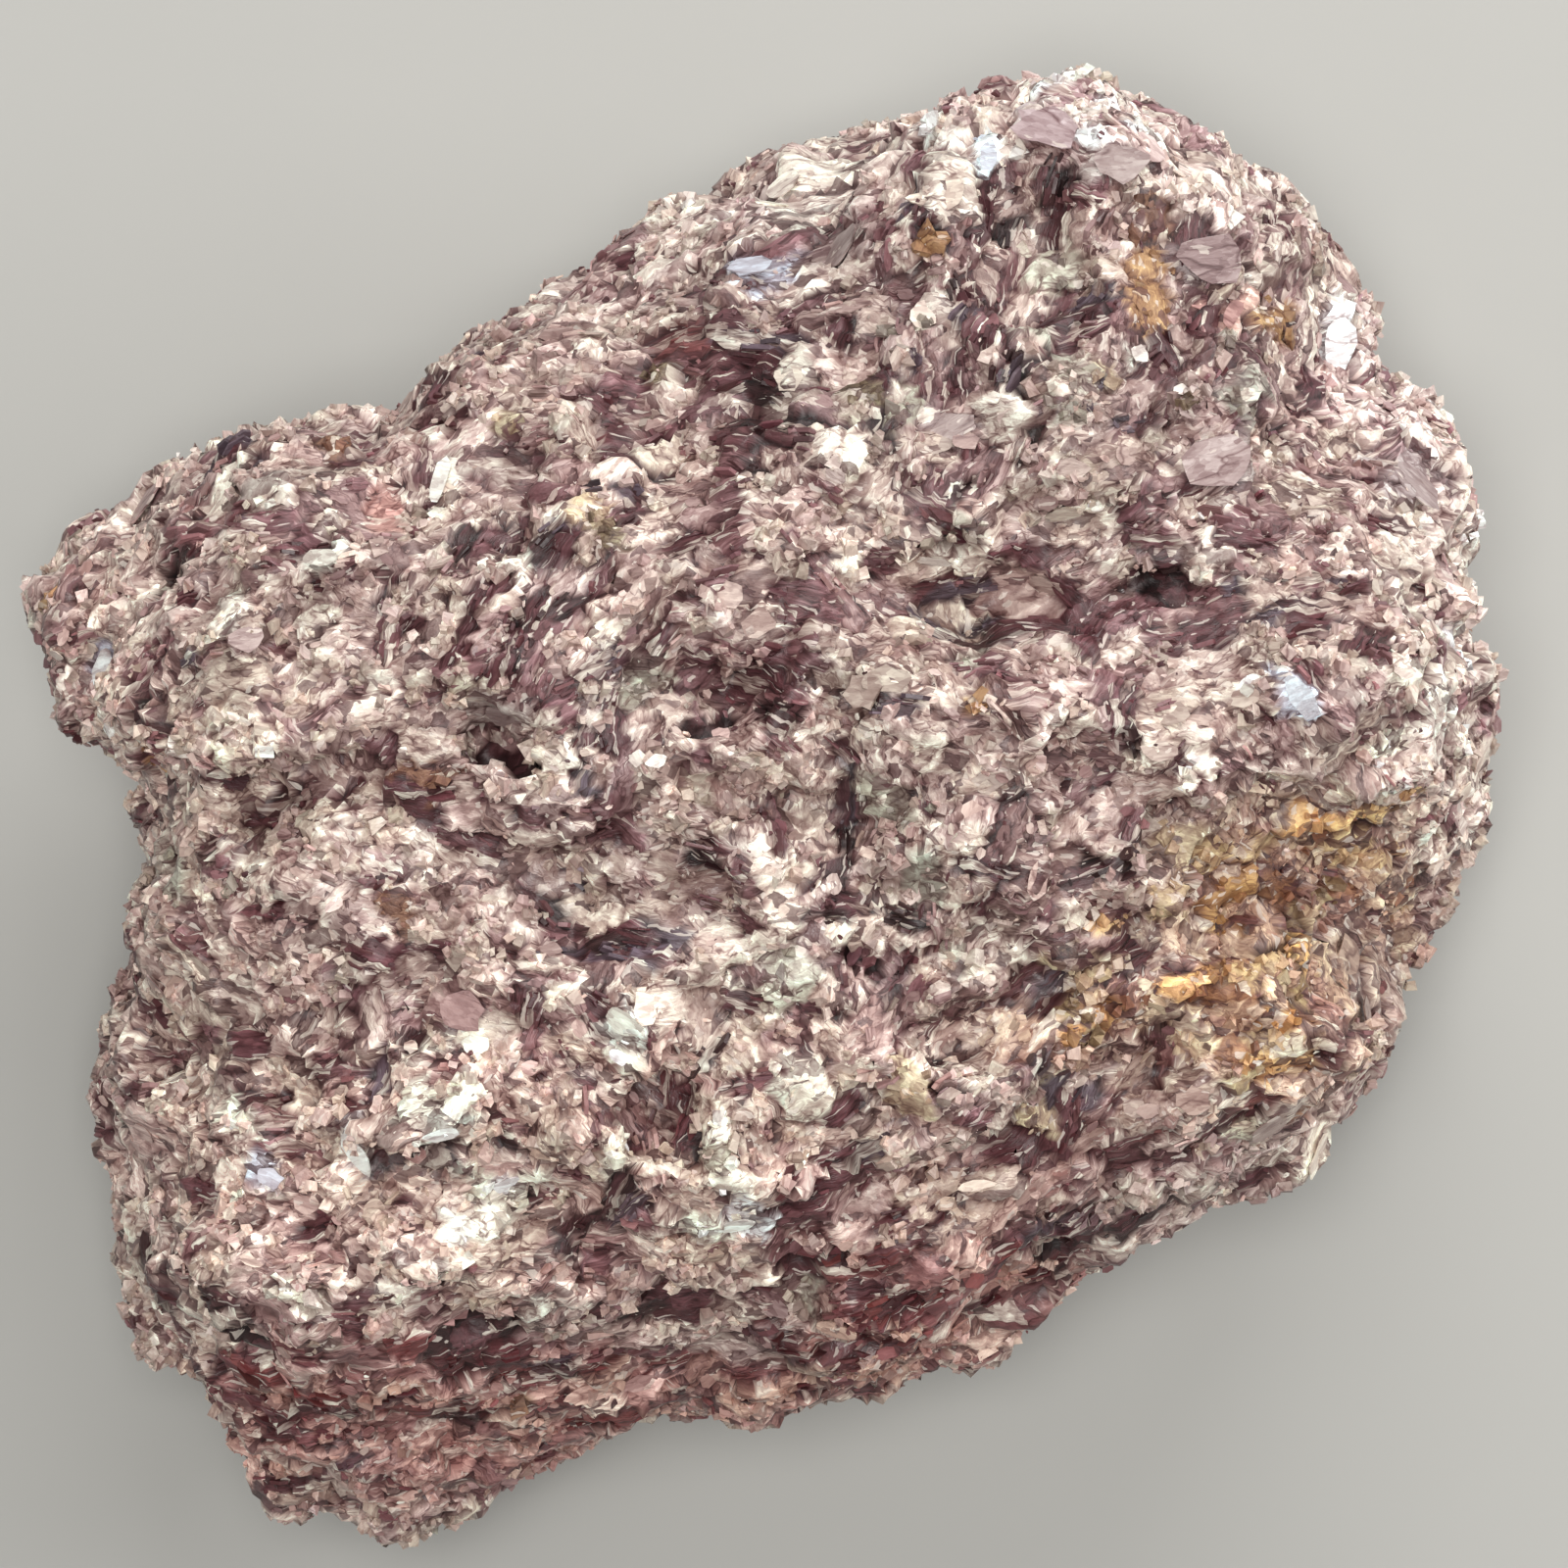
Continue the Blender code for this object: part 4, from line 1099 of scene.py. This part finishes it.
def chips(name, surface, grains, count, widths, chooser, material):
    """Small flakes at every angle, most of them the colour of the grain that they sit in, and a
    few painted as glints.
    """
    spots = surface.places(count, chooser)
    points = surface.points[spots]
    number, far, place = grains.nearest(points, np.zeros(3))
    height, _ = relief(grains, number, far, place)
    out = surface.broad[spots]
    along = flow(points, out)
    lean = np.radians(90 - np.abs(chooser.normal(0, 20, count)))
    twist = chooser.normal(0.0, 0.6, count) + math.pi * chooser.integers(0, 2, count)
    x = turned_by(along, out, twist)
    y = np.cross(out, x)
    normal = unit(out * np.sin(lean)[:, None] + y * np.cos(lean)[:, None])
    frames = np.stack([x, np.cross(normal, x), normal], axis=1)
    width = widths[0] + (widths[1] - widths[0]) * chooser.beta(1.2, 3.0, count)
    sizes = np.stack([width, width * chooser.uniform(0.3, 0.8, count), width], axis=1) * MM / 2
    colours = shaded(grains.colours[number], 0.2, chooser)
    pick = chooser.random(count)
    pick += 0.14 * (grains.colours[number][:, 1] < DARK_GRAIN)
    solid = grains.form[number] != HOLE
    # Some chips painted as glints, some pale pink, some plum
    for chosen, colour, change in (
        (solid & (pick < GLINT_CHIPS), GLINT, 0.08),
        (solid & (pick > GLINT_CHIPS) & (pick < PALE_CHIPS), PALE_PINK, 0.12),
        (pick > DARK_CHIPS, PLUM, 0.15),
    ):
        same = np.tile(srgb(colour), (int(chosen.sum()), 1))
        colours[chosen] = shaded(same, change, chooser)
    places = points + out * (height + chooser.uniform(-0.14, 0.05, count))[:, None] * MM
    soup = Soup(name)
    shape = flakes_shape(count, 6, chooser)
    soup.add(shape, frames, sizes, places, colours, grains.shine[number])
    return soup.built(material)


# Materials: their patterns lie in each grain's own axes, in mm


class Nodes:
    """Short calls for building a material's node tree."""

    def __init__(self, name):
        self.material = bpy.data.materials.new(name)
        self.material.use_nodes = True
        self.tree = self.material.node_tree
        self.shader = self.tree.nodes["Principled BSDF"]

    def node(self, kind, **settings):
        made = self.tree.nodes.new(kind)
        for key, value in settings.items():
            setattr(made, key, value)
        return made

    def link(self, source, target):
        self.tree.links.new(source, target)

    def carried(self, name, output="Fac"):
        """What the mesh carries under this name."""
        return self.node("ShaderNodeAttribute", attribute_name=name).outputs[output]

    def mixed(self, kind, factor, first, second):
        """The first of two links or values, changed to the second as far as the factor says."""
        made = self.node("ShaderNodeMix", data_type=kind)
        for key, value in (("Factor", factor), ("A", first), ("B", second)):
            if isinstance(value, bpy.types.NodeSocket):
                self.link(value, made.inputs[key])
            else:
                made.inputs[key].default_value = value
        return made.outputs["Result"]

    def spread(self, source, from_low, from_high, to_low, to_high):
        """A value between two numbers carried to between two others."""
        made = self.node("ShaderNodeMapRange")
        made.inputs["From Min"].default_value = from_low
        made.inputs["From Max"].default_value = from_high
        made.inputs["To Min"].default_value = to_low
        made.inputs["To Max"].default_value = to_high
        self.link(source, made.inputs["Value"])
        return made.outputs["Result"]

    def calculated(self, operation, first, second):
        made = self.node("ShaderNodeMath", operation=operation)
        for source, target in zip((first, second), made.inputs):
            self.link(source, target)
        return made.outputs["Value"]

    def deepened(self, colour, tone):
        """The colour times a tone, which takes less from its red, so that darker is redder: painted
        shade gets the red cast of light that bounces inside the stone.
        """
        tones = self.node("ShaderNodeCombineColor")
        for channel, power in (("Red", 0.84), ("Green", 1.08), ("Blue", 1.06)):
            raised = self.node("ShaderNodeMath", operation="POWER")
            self.link(tone, raised.inputs[0])
            raised.inputs[1].default_value = power
            self.link(raised.outputs["Value"], tones.inputs[channel])
        made = self.node("ShaderNodeMix", data_type="RGBA", blend_type="MULTIPLY")
        made.inputs["Factor"].default_value = 1.0
        self.link(colour, made.inputs["A"])
        self.link(tones.outputs["Color"], made.inputs["B"])
        return made.outputs["Result"]

    def textured(self, kind, size, place, **numbers):
        """A texture whose pattern has this size in the units of place."""
        made = self.node(kind)
        made.inputs["Scale"].default_value = 1.0 / size
        for key, value in numbers.items():
            made.inputs[key].default_value = value
        self.link(place, made.inputs["Vector"])
        return made

    def bent_place(self, place, size, reach):
        """The same space, bent by waves of this size as far as this reach."""
        wave = self.textured("ShaderNodeTexNoise", size, place, Detail=2.0)
        shift = self.node("ShaderNodeVectorMath", operation="MULTIPLY_ADD")
        self.link(wave.outputs["Color"], shift.inputs[0])
        shift.inputs[1].default_value = (2.0 * reach,) * 3
        self.link(place, shift.inputs[2])
        return shift.outputs["Vector"]


    def chances(self, size, place):
        """Three random numbers for every cell of this size."""
        cells = self.textured("ShaderNodeTexVoronoi", size, place)
        made = self.node("ShaderNodeSeparateColor")
        self.link(cells.outputs["Color"], made.inputs["Color"])
        return made.outputs

    def gapped(self, tone, place, bent, size, reach, least, cover_size, cover):
        """The tone with thin dark gaps of painted shade between cells of this size, in some places
        only.
        """
        rims = self.textured("ShaderNodeTexVoronoi", size, bent)
        rims.feature = "DISTANCE_TO_EDGE"
        gap = self.spread(rims.outputs["Distance"], 0.0, reach, least, 1.0)
        somewhere = self.textured("ShaderNodeTexNoise", cover_size, place, Detail=2.0)
        covered = self.spread(somewhere.outputs["Fac"], cover, cover + 0.08, 0.0, 1.0)
        return self.calculated("MULTIPLY", tone, self.mixed("FLOAT", covered, 1.0, gap))

    def surfaced(self, colour, tone, chance, glints, roughness, height, dent, coat):
        """Sets the shader: a toned colour with a few specks of painted glint, which start at a chance
        and have a strength, roughness from dull to shiny, and dents of a strength and depth."""
        # Painted glints: specks mixed to the glint colour
        painted_glint_speck = self.spread(chance, glints[0], glints[0] + 0.01, 0.0, glints[1])
        glint = (*srgb(GLINT), 1.0)
        toned = self.mixed("RGBA", painted_glint_speck, self.deepened(colour, tone), glint)
        self.link(toned, self.shader.inputs["Base Color"])
        rough = self.spread(self.carried("shine"), 0.0, 1.0, *roughness)
        self.link(rough, self.shader.inputs["Roughness"])
        bump = self.node("ShaderNodeBump")
        bump.inputs["Strength"].default_value = dent[0]
        bump.inputs["Distance"].default_value = dent[1]
        self.link(height, bump.inputs["Height"])
        self.link(bump.outputs["Normal"], self.shader.inputs["Normal"])
        self.shader.inputs["Coat Weight"].default_value = coat
        self.shader.inputs["Coat Roughness"].default_value = COAT_ROUGHNESS


COAT_ROUGHNESS = 0.3


def mica_material(name, patchy, bump, coat):
    """Grains painted by their tint, which holds the broad parts' painted light and shade, and by their
    shine, and broken up inside: soft clouds, small patches with sharp edges, thin dark slits of
    painted shade and a few specks of painted glint, all drawn out along the grain."""
    n = Nodes(name)
    drawn_out = n.node("ShaderNodeMapping")
    drawn_out.inputs["Scale"].default_value = (0.42, 1.15, 1.0)
    n.link(n.carried("streaks", "Vector"), drawn_out.inputs["Vector"])
    place = drawn_out.outputs["Vector"]
    bent = n.bent_place(place, 0.9, 0.4)
    fine_bent = n.bent_place(place, 0.3, 0.15)
    cloud = n.textured("ShaderNodeTexNoise", 0.8, place, Detail=3.0, Roughness=0.8)
    tone = n.spread(cloud.outputs["Fac"], 0.3, 0.7, 1.0 - 0.8 * patchy, 1.0 + 0.8 * patchy)
    for where, size, change in ((bent, 0.8, patchy), (fine_bent, 0.28, 0.8 * patchy)):
        chance = n.chances(size, where)
        own = n.spread(chance["Red"], 0.0, 1.0, 1.0 - change, 1.0 + change)
        tone = n.calculated("MULTIPLY", tone, own)
    # Painted shade: thin dark slits in the cracks between cells
    tone = n.gapped(tone, place, bent, 1.5, 0.06, 0.35, 2.4, 0.48)
    crinkle = n.textured("ShaderNodeTexNoise", 0.2, place, Detail=2.0, Roughness=0.7)
    height = n.calculated("ADD", crinkle.outputs["Fac"], own)
    n.surfaced(
        n.carried("tint", "Color"), tone, chance["Green"], (0.97, 0.55), (0.65, 0.28), height,
        (bump, 0.06 * MM), coat,
    )
    return n.material


# The ground's bits, coarsest first: size in mm, change of tone, share of another mineral, rise
BITS = ((1.6, 0.3, 0.13, 1.0), (0.66, 0.34, 0.12, 0.6), (0.27, 0.24, 0.0, 0.0))


def rock_material(name):
    """The ground: every grain is a crowd of small angular bits, drawn out into streaks where it
    is a book. Each bit has its own tone and level, and some are of a darker or paler mineral.
    Thin dark lines of painted shade run in the cracks between some of them, and a few specks of
    painted glint lie on them."""
    n = Nodes(name)
    scaled = n.node("ShaderNodeVectorMath", operation="MULTIPLY")
    n.link(n.carried("streaks", "Vector"), scaled.inputs[0])
    stretch = n.mixed("VECTOR", n.carried("streaky"), (0.7, 1.2, 1.0), (0.28, 2.4, 1.0))
    n.link(stretch, scaled.inputs[1])
    place = scaled.outputs["Vector"]
    bent = n.bent_place(n.bent_place(place, 1.1, 0.45), 0.3, 0.12)
    # The ground's tone: its painted shade in hollows and at grain rims, and painted light on ridges
    tone = n.carried("tone")
    colour = n.carried("tint", "Color")
    steps = []
    for size, change, other, rise in BITS:
        chance = n.chances(size, bent)
        own = n.spread(chance["Red"], 0.0, 1.0, 1.0 - change, 1.0 + change)
        tone = n.calculated("MULTIPLY", tone, own)
        if rise:
            steps.append(n.spread(chance["Blue"], 0.0, 1.0, 0.0, rise))
        if other:
            for low, high, mineral, share in (
                (1.0 - other, 1.02 - other, PLUM, 0.75),
                (0.6 * other, 0.6 * other - 0.02, CREAM, 0.5),
            ):
                strength = n.spread(chance["Green"], low, high, 0.0, share)
                colour = n.mixed("RGBA", strength, colour, (*srgb(mineral), 1.0))
    # Painted shade: thin dark lines in the cracks between bits
    tone = n.gapped(tone, place, bent, 1.5, 0.07, 0.34, 1.6, 0.5)
    tone = n.gapped(tone, place, bent, 0.62, 0.09, 0.34, 1.6, 0.46)
    cloud = n.textured("ShaderNodeTexNoise", 0.5, place, Detail=3.0, Roughness=0.85)
    clouded = n.spread(cloud.outputs["Fac"], 0.3, 0.7, 0.74, 1.4)
    tone = n.calculated("MULTIPLY", tone, clouded)
    height = n.calculated("ADD", n.calculated("ADD", *steps), cloud.outputs["Fac"])
    n.surfaced(
        colour, tone, chance["Green"], (0.955, 0.6), (0.6, 0.3), height, (0.8, 0.12 * MM), 0.12
    )
    return n.material


def plain_material(name, colour, roughness):
    """One plain colour with the faintest clouds."""
    n = Nodes(name)
    place = n.node("ShaderNodeTexCoord").outputs["Object"]
    cloud = n.textured("ShaderNodeTexNoise", 30.0 * MM, place, Detail=4.0)
    low, high = ((*srgb(colour) * share, 1.0) for share in (0.97, 1.03))
    tinted = n.mixed("RGBA", cloud.outputs["Fac"], low, high)
    n.link(tinted, n.shader.inputs["Base Color"])
    n.shader.inputs["Roughness"].default_value = roughness
    return n.material


# The studio


# Each lamp: its place, what it is aimed at and its size, in mm, its watts and its colour
LAMPS = {
    "window": ((70, 400, 290), (0, 0, 20), (300, 200), 1.3, (1.0, 0.985, 0.97)),
    "east_side": ((430, 120, 190), (0, 0, 20), (200, 180), 0.9, (1.0, 0.99, 0.98)),
    "overhead": ((-30, 0, 520), (0, 0, 20), (200, 200), 1.5, (1.0, 0.985, 0.965)),
}
SKY = (1.0, 0.98, 0.95, 1.0)
SKY_STRENGTH = 0.23
FLOOR_COLOUR = (184, 184, 180)
FLOOR_SIZE = 1.5
FLOOR_DROP = 0.05 * MM


def aimed_light(name, place_mm, target_mm, size_mm, watts, colour):
    """A rectangular lamp that points at its target."""
    data = bpy.data.lights.new(name, "AREA")
    data.shape = "RECTANGLE"
    data.size = size_mm[0] * MM
    data.size_y = size_mm[1] * MM
    data.energy = watts
    data.color = colour
    lamp = bpy.data.objects.new(name, data)
    lamp.location = Vector(place_mm) * MM
    way = (Vector(target_mm) - Vector(place_mm)).normalized()
    lamp.rotation_euler = way.to_track_quat("-Z", "Y").to_euler()
    bpy.context.scene.collection.objects.link(lamp)


def studio():
    """The pale floor, just under the stone, with three soft lamps and an even sky."""
    bm = bmesh.new()
    bmesh.ops.create_grid(bm, x_segments=1, y_segments=1, size=FLOOR_SIZE)
    mesh = bpy.data.meshes.new("floor")
    bm.to_mesh(mesh)
    bm.free()
    floor = bpy.data.objects.new("floor", mesh)
    floor.location.z = -FLOOR_DROP
    mesh.materials.append(plain_material("pale_floor", FLOOR_COLOUR, 0.8))
    bpy.context.scene.collection.objects.link(floor)
    for name, lamp in LAMPS.items():
        aimed_light(name, *lamp)
    world = bpy.data.worlds.new("studio")
    world.use_nodes = True
    sky = world.node_tree.nodes["Background"]
    sky.inputs["Color"].default_value = SKY
    sky.inputs["Strength"].default_value = SKY_STRENGTH
    bpy.context.scene.world = world


SENSOR_WIDTH = 36.0


def camera():
    """Straight above the face, so that its square view fits the pixels named above."""
    data = bpy.data.cameras.new("camera")
    data.sensor_width = SENSOR_WIDTH
    data.lens = SENSOR_WIDTH * (EYE[2] - FACE_LEVEL) / (VIEW_PX * PX)
    data.clip_start = 0.01
    data.clip_end = 10.0
    eye = bpy.data.objects.new("camera", data)
    eye.location = EYE
    bpy.context.scene.collection.objects.link(eye)
    bpy.context.scene.camera = eye


def dress():
    """Makes every piece and lays it on the stone's body."""
    chooser = np.random.default_rng(SEED)
    mesh = remeshed(welded_solid(), GROUND_STEP)
    surface = Surface(mesh)
    grains = Grains(surface, GRAINS, chooser)
    face = mica_material("mica_plates", 0.28, 0.7, 0.2)
    edge = mica_material("mica_books", 0.2, 0.6, 0.1)
    rock = rock_material("grained_rock")
    pieces = [
        ground(mesh, surface, grains, chooser, rock),
        book_sheets("mica_books", grains, SHEETS_OF_BOOK, chooser, edge),
        flat_plates("mica_plates", grains, chooser, face),
        blocks("pale_grains", grains, BLOCKS_OF_LUMP, chooser, face),
        chips("chips", surface, grains, CHIPS, CHIP_WIDTH, chooser, face),
    ]
    for piece in pieces:
        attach(piece, "root")
    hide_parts("lepidolite")


bpy.context.scene.view_settings.view_transform = "Standard"
studio()
camera()
dress()
